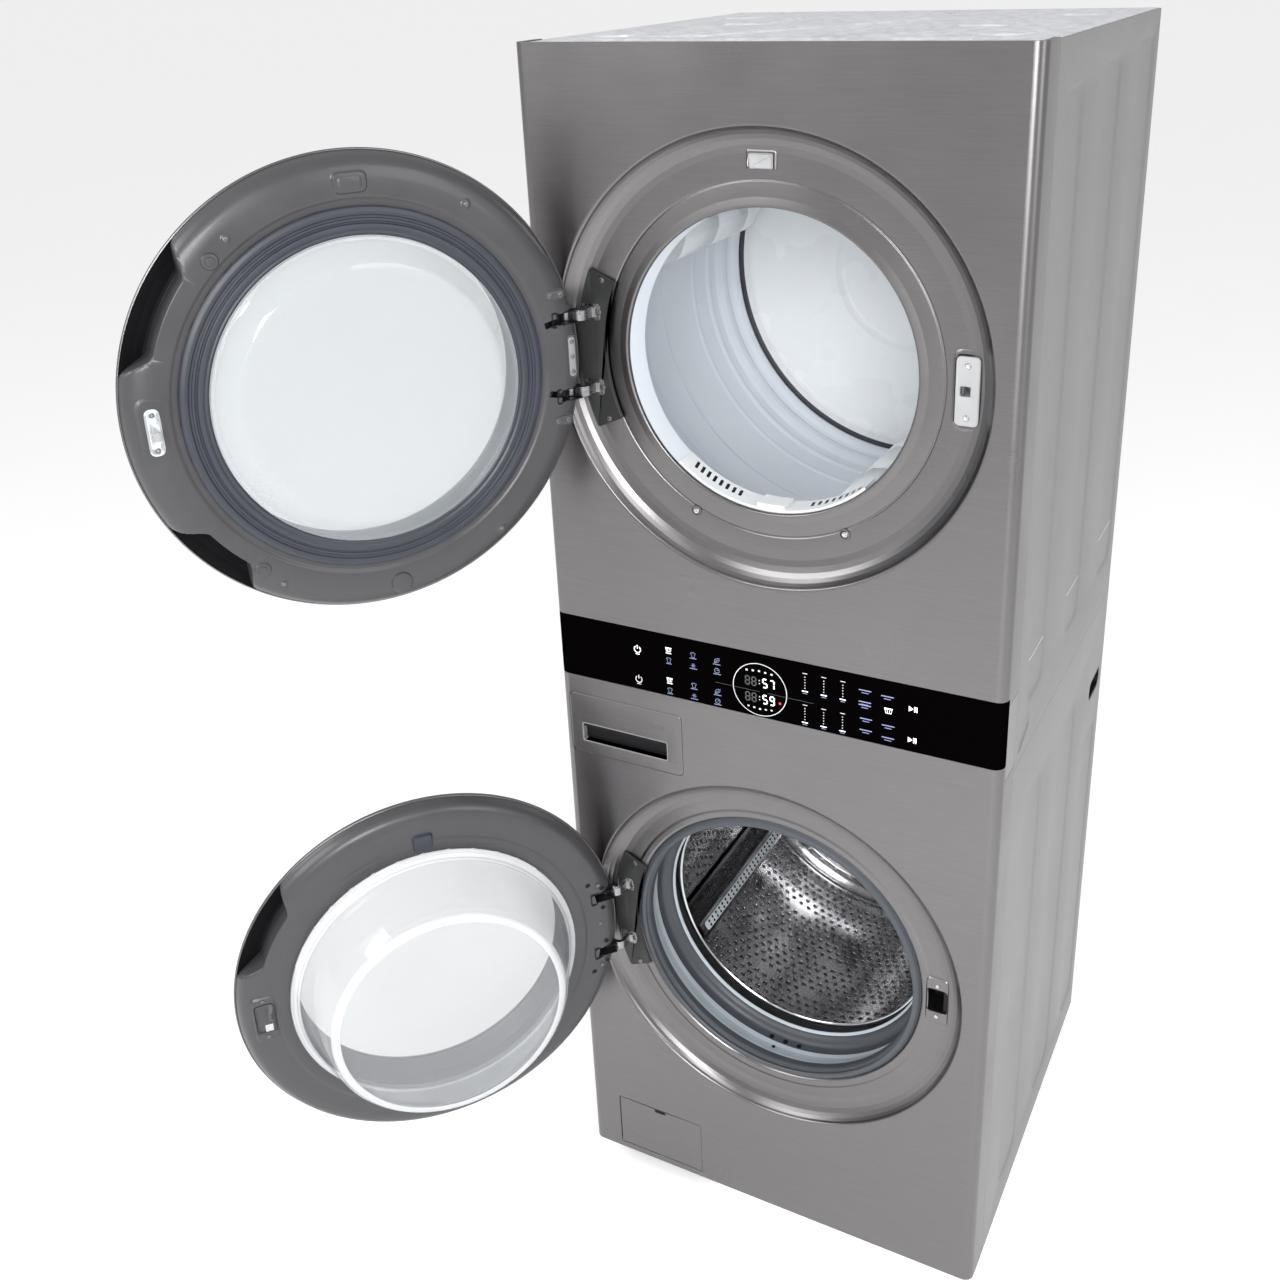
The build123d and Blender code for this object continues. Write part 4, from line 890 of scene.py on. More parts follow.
RING = [(298.2, -9.5), (299, -11), (299, -14), (297.5, -17), (294, -21), (284, -28), (270, -35), (250, -41),
        (226, -46), (207, -48), (206, -47.4), (206, -45.6), (226, -43.4), (250, -38.4), (269, -32.4),
        (282.4, -25.6), (292, -18.6), (296.5, -13), (296.6, -9.5)]
DISC = [(0, -50), (120, -49.5), (203, -47.9), (205, -47.2), (205, -44), (203, -43.8), (120, -45.5), (0, -46)]
CUP = [(264, 9), (263.5, -26), (266, -27.6), (271, -27), (283, -21), (292, -14.2), (296, -11)]

doors = {
    "dryer": (DRYER_Z, ((12, 47), (-54, -26)), "dryer_door",
              [(233.5, 10), (238, 10), (240, 10.3), (242, 11.4), (244, 12.6), (247, 13), (266, 13),
               (272, 12.3), (279, 10.6), (284, 8.8), (288.5, 5.4), (292, 1), (294.5, -4), (296, -9)]),
    "washer": (WASHER_Z, ((14, 47),), "washer_door",
               [(222, 13.6), (223.5, 14), (236, 14), (240, 13.8), (242, 12.8), (244, 12.4), (266, 12),
                (272, 11.3), (279, 9.8), (284, 8.6), (288.5, 5.2), (292, 1), (294.5, -4), (296, -9)]),
}
for kind, (centre, pockets, body, profile) in doors.items():
    publish(f"{kind}_ring", lathe(behind(soften(RING, 3, 3, closed=True)), 0, centre), graphite, body,
            [f"{kind}_door_ring"], sharp=35)
    publish(f"{kind}_outer_glass", lathe(behind(DISC), 0, centre), door_glass, body,
            [f"{kind}_door_glass"])
    shape = punched(door_frame(profile, centre, pockets), in_slots(centre))
    inner = profile[0]
    sleeve = lathe([(inner[0], FRONT + inner[1]), (inner[0] - 0.1, FRONT + inner[1] - 3),
                    (inner[0] + 2, FRONT - 20), (208, FRONT - 43)], 0, centre, closed=False)
    publish(f"{kind}_frame_shell", joined(shape, sleeve), frame_plastic, body,
            [f"{kind}_door_frame"], sharp=38, shell=1.5)
    for number, (low, high) in enumerate(pockets):
        publish(f"{kind}_pull_cup_{number}", lathe(behind(soften(CUP, 3, 3)), 0, centre,
                (low + 0.5, high - 0.5), closed=False), black_plastic, body, shell=0.8)
    slots = []
    for offset in ARM_OFFSETS:
        z = centre + offset
        slots.append(relief(rounded(-273, z, 40, 21, 2.5), [], [rounded(-273, z, 38.4, 16.8, 1.5)],
                            lambda u, v, h: (u, FRONT + 13.4 - max(0, -u - 272) ** 1.7 * 0.075, v)))
        slots.append(strip([[(u, FRONT + y, v) for u, v in rounded(-273, z, 38.4, 17, 1.5)]
                            for y in (11, -6)]))
    publish(f"{kind}_hinge_mouths", joined(*slots), black_plastic, body, shell=1.0)


# Bosses, screws and plates on the dryer door's inner frame.
def boss_at(radius, angle, low, high, size, centre):
    """Round boss on a door frame."""
    x, z = polar(radius, angle, 0, centre)
    return bump(circle(x, z, size, 40), low, high)


oblong = rounded(0, 0, 44, 27, 11, 8)
spot = polar(261, 91, 0, DRYER_Z)
bosses = [bump([(u + spot[0], v + spot[1]) for u, v in oblong], 12.6, 15.8, 2.2)]
bosses.append(bump([(u * 0.66 + spot[0], v * 0.6 + spot[1]) for u, v in oblong], 15.6, 16.6, 1.2))
for radius, angle, size, high in ((254, 48, 11, 15.5), (254, 48, 6.5, 17), (265, -51, 11, 15.2),
                                  (265, -51, 6.5, 16.5), (268, -92, 15, 15.6), (264, 124, 7.5, 14),
                                  (259, 55, 7, 14), (272, -58, 7, 13.4), (272, -125, 7, 13.4)):
    bosses.append(boss_at(radius, angle, 12.2, high, size, DRYER_Z))
for rise in (87, -87):
    edge = rounded(-259, DRYER_Z + rise, 30, 14, 6.8, 6)
    bosses.append(bump(edge, 11.6, 14.4, 1.4))
edge = rounded(-279, DRYER_Z, 15, 62, 7.4, 6)
bosses.append(bump(edge, 9.6, 12.8, 1.4))
latch = rounded(264, CATCH[1], 34, 86, 15, 8)
bosses.append(bump(latch, 11.8, 13.4, 2.4))
publish("dryer_frame_bosses", joined(*bosses), frame_plastic, "dryer_door", sharp=40)
plate = rounded(264, CATCH[1], 17, 58, 8.4, 8)
publish("dryer_strike_plate", bump(plate, 13.2, 15, 1.0), lifter_plastic, "dryer_door")
publish("dryer_capsule_plate", bump(rounded(-279, DRYER_Z, 9.5, 54, 4.6, 6), 12.5, 13.6, 0.7),
        grey_plastic, "dryer_door")
screw_places = [(*polar(264, 124), 14), (*polar(259, 55), 14), (*polar(272, -58), 13.4),
                (*polar(272, -125), 13.4), (264, -25, 14.2), (264, 19, 14.2), (-252, 87, 13.6),
                (-267, 87, 13.6), (-252, -87, 13.6), (-267, -87, 13.6), (-279, 21, 12.9), (-279, 0, 12.9),
                (-279, -21, 12.9)]
publish("dryer_door_screws", repeated(screw_head, [into(x, y, DRYER_Z + z, 17 * n, 0.8) for n, (x, z, y) in
                                                   enumerate(screw_places)]),
        dark_zinc, "dryer_door")

square = rounded(-2, WASHER_Z + 240, 30, 28, 5)
publish("washer_bumper", joined(bump(square, 12.5, 17.4, 2.0)), seal_rubber, "washer_door")
hook_frame = [rounded(*HOOK, 36, 78, 8, 6), rounded(*HOOK, 26, 50, 5, 5)]
raised = panel(11.7, hook_frame[0], [(grown(hook_frame[0], -3), -2.0), (grown(hook_frame[1], 2), -2.0)],
               [hook_frame[1]], -1)
mouth = wall(hook_frame[1], 13.7, -2)
publish("washer_hook_frame", joined(raised, mouth), frame_plastic, "washer_door",
        shell=1.0)
# Black floor of the hook's mouth: painted shade in the recess.
publish("hook_well_shade", plug(hook_frame[1], -1.5), black_plastic, "washer_door",
        shell=0.6)
screw_places = [(258, -28.5, 13.8), (258, 36, 13.8), (-266, 5, 12), (-266, 78, 11.6), (-264, -78, 11.8)]
publish("washer_door_screws", repeated(screw_head, [into(x, y, WASHER_Z + z, 23 * n, 0.75) for n, (x, z, y) in
                                                    enumerate(screw_places)]),
        dark_zinc, "washer_door")
pips = [(-249, 83, 4), (-272, 71, 3.4), (-272, 34, 3.4), (-274, -33, 3.4), (-274, -71, 3.4), (-250, -87, 4)]
publish("washer_frame_holes", joined(*[bump(circle(x, WASHER_Z + z, r, 20), 12.0, 12.9, 0.5)
                                       for x, z, r in pips]),
        black_plastic, "washer_door")

SEAL = [(233.2, 9), (233.2, 14.6), (231.6, 16.6), (227, 17.9), (223.4, 17.6), (221.6, 15), (219.4, 14.6),
        (218, 16.6), (215.6, 16.6), (214.4, 14.8), (212.9, 15.2), (211.8, 18.0), (206.5, 18.1), (203.4, 16.2),
        (201.2, 17.2), (198.6, 16.2), (197.4, 12), (197.5, 8)]
publish("dryer_seal", lathe(behind(soften(SEAL, 1.4, 3, closed=True)), 0, DRYER_Z), seal_rubber,
        "dryer_door", ["dryer_door_seal"], sharp=40)
WINDOW = [(0, 38), (160, 38), (168, 37.2), (172, 35), (190, 22.5), (193.5, 20.6), (197.2, 20),
          (197.2, 12.4), (192, 9.2), (189, 14), (171, 30.4), (166, 33.2), (160, 34), (0, 34)]
publish("dryer_window", lathe(behind(soften(WINDOW, 3, 4)), 0, DRYER_Z), window_glass,
        "dryer_door", ["dryer_door_window"], sharp=50)
BOWL = [(221.7, 14.2), (221.7, 17.6), (219.5, 18.6), (214, 20), (209, 28), (206, 36), (190, 84), (181, 107),
        (176, 114), (169, 117.4), (160, 118), (0, 118), (0, 112), (158, 112), (166, 110.6), (172, 106),
        (184, 82), (200, 34), (209, 14.2)]
publish("washer_bowl", lathe(behind(soften(BOWL, 4, 4)), 0, WASHER_Z), bowl_glass,
        "washer_door", ["washer_door_bowl"], sharp=50)
# Beads at the bowl's end and mouth in the lighter rim glass: a painted highlight on the rims.
for name, bead in (("bowl_end_rim", [(176.8, 112.5), (172.6, 116.4), (168.6, 117.7), (164, 118.0),
                                     (163.5, 116.6), (168, 116.2), (171.6, 114.8), (175.2, 111.4)]),
                   ("bowl_mouth_rim", [(220.8, 17.6), (216.6, 19.1), (212.4, 22.4), (209.4, 27.6),
                                       (207.8, 27), (210.8, 21.4), (215.2, 17.6), (220, 16.2)])):
    publish(name, lathe(behind(soften(bead, 1, 2, closed=True)), 0, WASHER_Z), highlit_rim_glass,
            "washer_door", sharp=60)


# ---- Hinges, catch, lock and lamp ---------------------------------------------------------
def ring_sector(inner, outer, low, high, centre, steps=28):
    """Outline of a sector of a ring."""
    turns = [low + (high - low) * i / steps for i in range(steps + 1)]
    return [polar(outer, t, 0, centre) for t in turns] + [polar(inner, t, 0, centre) for t in turns[::-1]]


for kind, centre in (("dryer", DRYER_Z), ("washer", WASHER_Z)):
    plate = ring_sector(237, 281.5, 156.4, 203.6, centre)
    plate = soften(plate, 9, 5, closed=True)
    raised = bump(grown(plate, -0.8), 17.2, 15.4, 1.2)
    lower = slab(plate, FRONT + 17, FRONT + 19.6)
    publish(f"{kind}_hinge_plate", joined(lower, raised), dark_metal, "cabinet",
            [f"{kind}_hinge"], bevel=0.5)
    arms = []
    for offset in ARM_OFFSETS:
        z = centre + offset
        path = soften([(-283, -355.2), (-262, -355.2), (-257.6, -350), (-257.6, -331), (-250, -329.6)], 5, 6)
        arms.append(slab(ribbon(path, 6.4), z - 6.8, z + 6.8, "Z"))
        arms.append(slab(circle(HINGE.x, HINGE.y, 6.9, 40), z - 6.9, z + 6.9, "Z"))
        arms.append(bump(rounded(-258, z, 26, 20, 4), 17.4, 15.0, -0.9))
    publish(f"{kind}_hinge_arms", joined(*arms), arm_metal, "cabinet", bevel=0.9)
    spots = [polar(258, 157.8), polar(258, 202.2), (-246, ARM_OFFSETS[1]), (-246, ARM_OFFSETS[0])]
    places = [at(x, 15.4, centre + z, 30 * n) for n, (x, z) in enumerate(spots)]
    publish(f"{kind}_hinge_screws", repeated(screw_head, places), dark_zinc, "cabinet")

dish_spots = [(x, DRYER_Z - math.sqrt(DISH_SCREW_R**2 - x**2)) for x in DISH_SCREW_XS]
dish_screws = [at(x, 22.2, z, 20) for x, z in dish_spots]
catch_screws = [at(CATCH[0], 16.5, CATCH[1] + rise, 40, 0.92) for rise in (-33, 33)]
lock_screws = [at(LOCK[0], 19.2, LOCK[1] + rise, 10, 0.7) for rise in (-28, 28)]
publish("front_screws", repeated(screw_head, dish_screws + catch_screws + lock_screws), zinc, "cabinet",
        ["cabinet_screws"])
washers = [lathe(behind([(8.2, 22.4), (7.6, 20.9), (6.2, 20.9), (5.6, 22.2)]), *spot, closed=False, steps=48)
           for spot in dish_spots]
publish("screw_dimples", joined(*washers), graphite, "cabinet")

catch = rounded(*CATCH, 30, 88, 7, 6)
socket = rounded(264.7, CATCH[1], 13.4, 13, 2)
face = panel(17.6, catch, [(grown(catch, -1), 1.0), (grown(catch, -1.8), 1.2), (grown(socket, 2.2), 1.2),
                           (grown(socket, 1.2), 0.4)], [socket], -1)
skirt = wall(catch, 17.6, 20)
tunnel = wall(socket, 17.6, 45)
publish("catch_plate", joined(face, skirt, tunnel), pale_plastic, "cabinet", ["dryer_catch"],
        sharp=40)
ledge = rounded(CATCH[0] + 1, CATCH[1], 42, 104, 13, 8)
recess = panel(21.9, ledge, [(grown(ledge, -3), -1.4), (grown(ledge, -5), -1.4)], [grown(catch, 0.6)])
publish("catch_recess", recess, graphite, "cabinet", shell=0.6)

boss = rounded(LOCK[0], LOCK[1], 36, 82, 8, 6)
mouth = rounded(LOCK[0] - 0.5, LOCK[1], 30, 40, 6, 5)
publish("lock_boss", panel(21.6, boss, [(grown(boss, -2.2), -2.0), (grown(mouth, 1.5), -2.0)], [mouth]),
        graphite, "cabinet", shell=0.8)
publish("lock_mouth", wall(mouth, 20.4, 48), black_plastic, "cabinet", shell=-0.8)

lamp = rounded(LAMP[0], LAMP[1] + 1.5, 41, 24, 3)
pane = rounded(*LAMP, 31, 18, 2)
publish("lamp_frame", panel(21.4, lamp, [(grown(lamp, -2), -1.2)], [grown(pane, 1)]), graphite, "cabinet",
        shell=0.8)
publish("lamp_lens", bump(pane, 20.6, 18.8, 1.0), lens_plastic, "cabinet",
        ["drum_lamp"])


# ---- Inside the dryer ---------------------------------------------------------------------
DRUM = [(316, -271.5), (324.6, -261), (324.8, -84), (323.5, -78), (321.2, -74), (321, -12), (323, -7),
        (324.8, -4), (324.8, 96), (323.4, 99), (322.4, 103), (323.4, 107), (324.8, 110), (324.8, 150),
        (322.5, 154), (321.5, 159), (322.5, 164), (324.8, 168), (324.8, 186), (321, 192), (317, 201),
        (317, 214), (320.5, 222), (322.5, 229), (319.5, 236), (313, 243), (311, 252), (313, 259),
        (318, 264.5)]
publish("dryer_drum_skin", lathe(soften(DRUM, 5, 3), 0, DRYER_Z, closed=False), drum_enamel, "dryer_drum",
        ["dryer_drum"], shell=-0.9, sharp=50)
publish("drum_rear_seal", lathe([(318.5, 265.2), (309, 266.4), (307.5, 267.2), (318.5, 267.2)], 0, DRYER_Z),
        seal_rubber, "cabinet")
BACK = [(0, 262), (40, 262), (44, 263.2), (118, 263.2), (122, 262.2), (128, 263.4), (136, 266.6),
        (150, 267.4), (286, 267.8), (290, 266.8), (296, 266.8), (300, 268), (333, 268)]
publish("dryer_back_plate", lathe(soften(BACK, 3, 3), 0, DRYER_Z, closed=False), back_enamel, "cabinet",
        ["drum_back"], shell=-1.0, sharp=45)


def fin(section, stations, base):
    """Drum lifter: a section of (across, depth) above its base, scaled along stations of (y, share)."""
    rows = []
    for y, share in stations:
        rows.append([(across * (0.55 + 0.45 * share) if depth > 1 else across, y, base - depth * share)
                     for across, depth in section])
    return strip(rows)


section = soften([(-62, 0), (-54, 8), (-40, 32), (-24, 51), (-12, 56.6), (12, 56.6), (24, 51), (40, 32),
                  (54, 8), (62, 0)], 14, 4)
stations = [(-224, 0.02), (-221, 0.5), (-214, 0.82), (-204, 0.95), (-190, 1.0)]
for notch in (-92, 22, 128):
    stations += [(notch - 3, 1.0), (notch - 1.6, 0.965), (notch + 1.6, 0.965), (notch + 3, 1.0)]
stations += [(158, 1.0), (178, 0.96), (193, 0.86), (204, 0.68), (211, 0.4), (214.5, 0.02)]
lifters = [fin(section, stations, 313) for _ in range(3)]
for lifter, angle in zip(lifters, DRYER_FIN_ANGLES):
    lifter.transform(around(DRYER_Z, angle - FIN_MADE_AT))
publish("dryer_lifter_skins", joined(*lifters), lifter_white, "dryer_drum",
        ["dryer_lifters"], shell=1.2, sharp=60)

lip = [(205.4, -319), (203, -319.6), (201.7, -318), (201.6, -309), (202.2, -307), (202.2, -293),
       (201.6, -291), (201.6, -284), (203, -280.6), (205.4, -280.6)]
publish("lint_lip", lathe([(r, y) for r, y in soften(lip, 1, 2, closed=True)], 0, DRYER_Z, (228, 312)),
        white_plastic, "lint_filter")
slot_spots = []
slant = Matrix.Rotation(math.radians(-12), 4, "X")
for first in (233.5, 285.5):
    for n in range(8):
        slot_spots.append(around(DRYER_Z, first + 3.0 * n) @ Matrix.Translation((201.6, -296, 0)) @ slant)
# Black slabs for the vent slots in the lint filter's lip: painted shade in the slots.
publish("lint_slot_shade", repeated(lambda: slab(rounded(0, 0, 17, 4.6, 1.6, 3), -0.2, 0.5, "X"), slot_spots),
        black_plastic, "lint_filter")


# ---- Inside the washer --------------------------------------------------------------------
LIP = [(246, -316), (240.4, -318.4), (237, -321.6), (234.4, -325.2), (231, -326.8), (227.6, -326.6),
       (225.4, -324.4), (226.2, -321.6), (228.4, -320.4), (228.2, -318), (225, -316.6), (223.4, -313),
       (223.4, -303), (228, -302), (230, -314), (236, -315), (240, -312.4), (246, -312.4)]
publish("gasket_lip", lathe(soften(LIP, 1.5, 3, closed=True), 0, WASHER_Z), lip_rubber, "cabinet",
        sharp=50)
BODY = [(225, -305), (226, -299), (231, -288), (234.6, -278), (235.6, -268), (235.8, -256), (233.6, -251),
        (228, -248.6), (222.6, -245.6), (220.4, -241), (216.8, -236.6), (219.4, -233.8), (223, -238),
        (225.4, -242.4), (236.4, -246.6), (239.8, -252), (240, -272), (235, -286), (229.5, -299),
        (228.4, -305)]
publish("gasket_body", lathe(soften(BODY, 2.5, 3, closed=True), 0, WASHER_Z), gasket_rubber, "cabinet",
        ["door_gasket"], sharp=50)
BAND = [(235.3, -268), (235.5, -256.4), (233.2, -251.4), (227.8, -249.2), (222.4, -246.2), (220, -241.4),
        (221, -240.9), (223, -245.4), (228.4, -248.2), (234, -250.6), (236.2, -256), (236.2, -268)]
publish("gasket_inner_band", lathe(BAND, 0, WASHER_Z), lip_rubber, "cabinet", sharp=50)
# Black discs for the gasket's drain holes: painted shade in the holes.
drains = []
for angle, depth, size in ((262, -262, 4), (268, -262, 4), (274, -262, 4), (265, -284, 3)):
    radius = 235.0 if depth > -270 else 232.0
    drains.append(around(WASHER_Z, angle) @ Matrix.Translation((radius, depth, 0)) @ Matrix.Scale(size, 4))
publish("gasket_drain_shade", repeated(lambda: slab(circle(0, 0, 1, 20), -0.2, 0.2, "X"), drains), black_plastic,
        "cabinet")

WASH_DRUM = [(216.6, -214), (218.5, -215.8), (224, -216), (262, -218), (268, -216.4), (273, -211),
             (274.9, -204), (274.9, -186), (272.6, -183), (272.6, -180), (274.9, -177), (274.9, 188),
             (272.6, 191), (272.6, 194), (274.9, 197), (274.9, 223), (272, 229.4), (264, 231.8),
             (252, 231.8), (246, 226), (232, 224.6), (222, 229), (205, 230.4), (190, 230.4), (184, 226.4),
             (176, 226.4), (170, 230.4), (150, 230.4), (143, 224), (128, 222), (116, 226), (100, 230.6),
             (64, 230.6), (56, 225), (40, 223.4), (0, 223.4)]
publish("washer_drum_skin", lathe(soften(WASH_DRUM, 3, 3), 0, WASHER_Z, closed=False), stainless,
        "washer_drum", ["washer_drum"], shell=-1.0, sharp=50)


def pressed_hole():
    """Raised pip of a drum wall with its hole, standing along +X from the wall."""
    rows = [[(h, r * math.cos(t), r * math.sin(t)) for t in (math.tau * k / 8 for k in range(9))]
            for r, h in ((4.6, 0), (3.6, 0.6), (2.5, 1.5), (1.8, 1.1), (1.6, 0.2))]
    bm = strip(rows)
    bmesh.ops.remove_doubles(bm, verts=bm.verts, dist=0.001)
    return bm


def near_fin(angle, reach):
    """Whether an angle lies on one of the three lifters."""
    return any(abs((angle - fin_angle + 180) % 360 - 180) < reach for fin_angle in WASHER_FIN_ANGLES)


wall_pips, end_pips = [], []
for row in range(25):
    y = -172 + 14.6 * row
    for k in range(104):
        angle = (k + 0.5 * (row % 2)) * 360 / 104
        plain = row % 6 == 5 and (k // 3) % 2
        if near_fin(angle, 9) or plain:
            continue
        wall_pips.append(around(WASHER_Z, angle) @ Matrix.Translation((274.4, y, 0)) @ HALF_TURN)
for radius, count in ((243, 60), (212, 54), (197, 50), (160, 40), (90, 22), (75, 20)):
    for k in range(count):
        x, z = polar(radius, 360 * k / count, 0, WASHER_Z)
        deep = 224.9 if radius == 243 else 230
        end_pips.append(Matrix.Translation((x, deep, z)) @ Matrix.Rotation(-math.pi / 2, 4, "Z"))
publish("drum_pips", repeated(pressed_hole, wall_pips + end_pips), stainless, "washer_drum",
        fixed=True, sharp=80)
# Black discs that close the holes of the pips: painted shade seen through the drum's holes.
hole_spots = [spot @ Matrix.Translation((0.6, 0, 0)) for spot in wall_pips + end_pips]
publish("drum_hole_shade", repeated(lambda: slab(circle(0, 0, 1.85, 8), 0.0, 0.3, "X"), hole_spots), black_plastic,
        "washer_drum", sharp=80)

fins, fin_faces, fin_pips = [], [], []
for angle in WASHER_FIN_ANGLES:
    turn = around(WASHER_Z, angle - FIN_MADE_AT)
    body = strip([[(across, y, base) for across, base in
                   soften([(-33, 266), (-27, 262), (-19, 236), (-14, 224), (-9, 222.6), (9, 222.6), (14, 224),
                           (19, 236), (27, 262), (33, 266)], 4, 3)] for y in (-198, -194, 204, 208)])
    for end in (-198, 208):
        ends = ((-33, end, 266), (-14, end, 223.5), (14, end, 223.5), (33, end, 266))
        body.faces.new([body.verts.new(point) for point in ends])
    body.transform(turn)
    fins.append(body)
    plate = slab(rounded(0, 5, 15, 380, 5, 4), 221.9, 222.8, "Z")
    plate.transform(turn)
    fin_faces.append(plate)
    fin_pips += [turn @ Matrix.Translation((side * 3.6, y, 222.1)) @ Matrix.Rotation(math.pi / 2, 4, "Y")
                 @ Matrix.Scale(0.62, 4) for y in range(-172, 190, 13) for side in (-1, 1)]
publish("washer_fins", joined(*fins), stainless, "washer_drum", bevel=0.8, sharp=40)
publish("washer_fin_faces", joined(*fin_faces), lifter_plastic, "washer_drum", bevel=0.3)
# Black discs for the holes in the lifter faces: painted shade in the holes.
publish("fin_hole_shade", repeated(lambda: slab(circle(0, 0, 4.2, 14), -0.4, 0.6, "X"), fin_pips),
        black_plastic, "washer_drum")


# ---- Control band -------------------------------------------------------------------------
PRINT = FRONT - 0.12


def printed(outlines):
    """Thin print on the glass from closed outlines."""
    return joined(*[slab(outline, PRINT, FRONT + 0.05) for outline in outlines])


def placed(outline, x, z, size=1.0):
    """An outline moved to a place and scaled."""
    return [(x + u * size, z + v * size) for u, v in outline]


def arc_line(radius, low, high, thickness, steps=20):
    """Curved stroke about the origin."""
    return ribbon([polar(radius, low + (high - low) * i / steps) for i in range(steps + 1)], thickness)


def digit(strokes, x, z):
    """Seven-segment digit from stroke letters a to g."""
    w, h, t = 6.0, 6.6, 1.9
    lines = {"a": ((-w / 2, h), (w / 2, h)), "b": ((w / 2, h), (w / 2, 0)), "c": ((w / 2, 0), (w / 2, -h)),
             "d": ((-w / 2, -h), (w / 2, -h)), "e": ((-w / 2, 0), (-w / 2, -h)),
             "f": ((-w / 2, h), (-w / 2, 0)), "g": ((-w / 2, 0), (w / 2, 0))}
    result = []
    for stroke in strokes:
        a, b = (Vector(end) for end in lines[stroke])
        along = (b - a).normalized() * 0.7
        result.append(placed(ribbon([tuple(a + along), tuple(b - along)], t), x, z))
    return result


POWER = [arc_line(4.2, 125, 415, 1.0), ribbon([(0, 1.0), (0, 5.6)], 1.1)]
PLAY = [[(-4.6, -3.4), (0.6, 0), (-4.6, 3.4)], rounded(2.2, 0, 1.3, 6.8, 0.2), rounded(4.6, 0, 1.3, 6.8, 0.2)]
BASKET = [ribbon([(-4.6, 2.4), (4.6, 2.4), (3.4, -3.2), (-3.4, -3.2), (-4.6, 2.4)], 0.8),
          rounded(0, 3.4, 11, 1.1, 0.3), rounded(-1.4, -0.4, 0.7, 3.4, 0.2),
          rounded(1.4, -0.4, 0.7, 3.4, 0.2)]
SHIRT = [ribbon([(-4.6, 2.6), (-2, 4.2), (2, 4.2), (4.6, 2.6), (3.4, 0.8), (2.6, 1.4), (2.6, -4), (-2.6, -4),
                 (-2.6, 1.4), (-3.4, 0.8), (-4.6, 2.6)], 0.75)]
FLAKE = [ribbon([polar(4.4, a), polar(4.4, a + 180)], 0.7) for a in (0, 60, 120)]
LEAF = [ribbon([(-4, -4), (-2.8, 1.8), (1.4, 4.2), (4.6, 4.4), (3.8, 0.2), (0.4, -3), (-4, -4)], 0.75),
        ribbon([(-4, -4), (2.4, 2.2)], 0.7)]
DIAL = [arc_line(4.2, 0, 355, 0.8), ribbon([(0, 0), (2.6, 2.2)], 0.8)]
white, blue, lit, dim, red = [], [], [], [], []


def mark(target, icon, x, z, size=1.0, bar=9.0):
    """Icon with a short bar under it."""
    target.extend(placed(outline, x, z, size) for outline in icon)
    if bar:
        target.append(rounded(x, z - 6.2 * size, bar, 1.0, 0.3))


for z in (1040, 990):
    mark(lit if z > 1000 else white, POWER, -204, z, 1.25, 7)
    mark(lit, BASKET, -152, z + 10, 0.9)
    mark(blue, SHIRT, -152, z - 7, 0.9)
    mark(blue, SHIRT, -112, z + 10, 0.9, 11)
    mark(blue, FLAKE, -112, z - 7, 0.85, 12)
    mark(blue, LEAF, -74, z + 9, 0.95, 12)
    mark(blue, DIAL, -74, z - 7, 0.9, 12)
    mark(lit, PLAY, 218, z - 1 if z > 1000 else z + 1, 1.2, 0)
    for x in (62, 90, 118):
        for k in range(5):
            white.append(circle(x, z + 13 - 4.4 * k, 0.8, 8))
        white.append(rounded(x, z + 18.5, 7, 1.0, 0.3))
        lit.append(rounded(x, z - 9.5, 9, 1.3, 0.4))
        blue.append(rounded(x, z - 12.8, 7, 0.9, 0.3))
for x, z in ((150, 1052), (182, 1050), (150, 1034), (150, 1029), (152, 1008), (184, 1005), (152, 990),
             (184, 986)):
    blue.append(rounded(x, z, 18, 1.5, 0.4))
    blue.append(rounded(x, z - 4, 10, 1.0, 0.3))
mark(lit, BASKET, 184, 1028, 1.1, 0)
outer_circle = circle(-7, 1017, 42, 96)
lit += digit("afgcd", 1, 1029) + digit("abc", 12, 1029) + digit("afgcd", 1, 1003) + digit("abcdfg", 12, 1003)
dim += digit("abcdefg", -26, 1029) + digit("abcdefg", -16, 1029) + digit("abcdefg", -26, 1003)
dim += digit("abcdefg", -16, 1003)
white += [circle(-7.5, z, 0.9, 8) for z in (1032, 1027, 1006, 1001)]
red.append(circle(24, 1002, 1.9, 16))
for k in range(5):
    white.append(rounded(-27 + 9.6 * k, 1047 - abs(k - 2) * 0.8, 3.4, 2.6, 0.6))
    white.append(rounded(-25 + 9.0 * k, 986 + abs(k - 2) * 0.8, 3.2, 2.4, 0.6))
dim.append(rounded(-42, 1014, 70, 0.5, 0.1))
dim.append(rounded(40, 1014, 70, 0.5, 0.1))
publish("print_circle", panel(-0.12, outer_circle, [], [grown(outer_circle, -1.1)]), print_white, "cabinet")
for name, outlines, look in (("print_white", white, print_white), ("print_blue", blue, print_blue),
                             ("print_lit", lit, lit_white), ("print_dim", dim, print_dim),
                             ("print_red", red, lit_red)):
    publish(name, printed(outlines), look, "cabinet", sharp=30)


# ---- Drawer and filter cover --------------------------------------------------------------
face = rounded(*DRAWER, 192, 102, 8, 6)
slot = rounded(-235, 875, 146, 30, 3)
front_face = panel(0.3, face, [(grown(face, -0.5), -0.4), (grown(face, -3), -0.4), (grown(slot, 2.4), -0.4),
                               (grown(slot, 0.8), -0.2)], [slot])
publish("drawer_face", joined(front_face, wall(face, 0.3, 12)), graphite, "drawer", sharp=30)
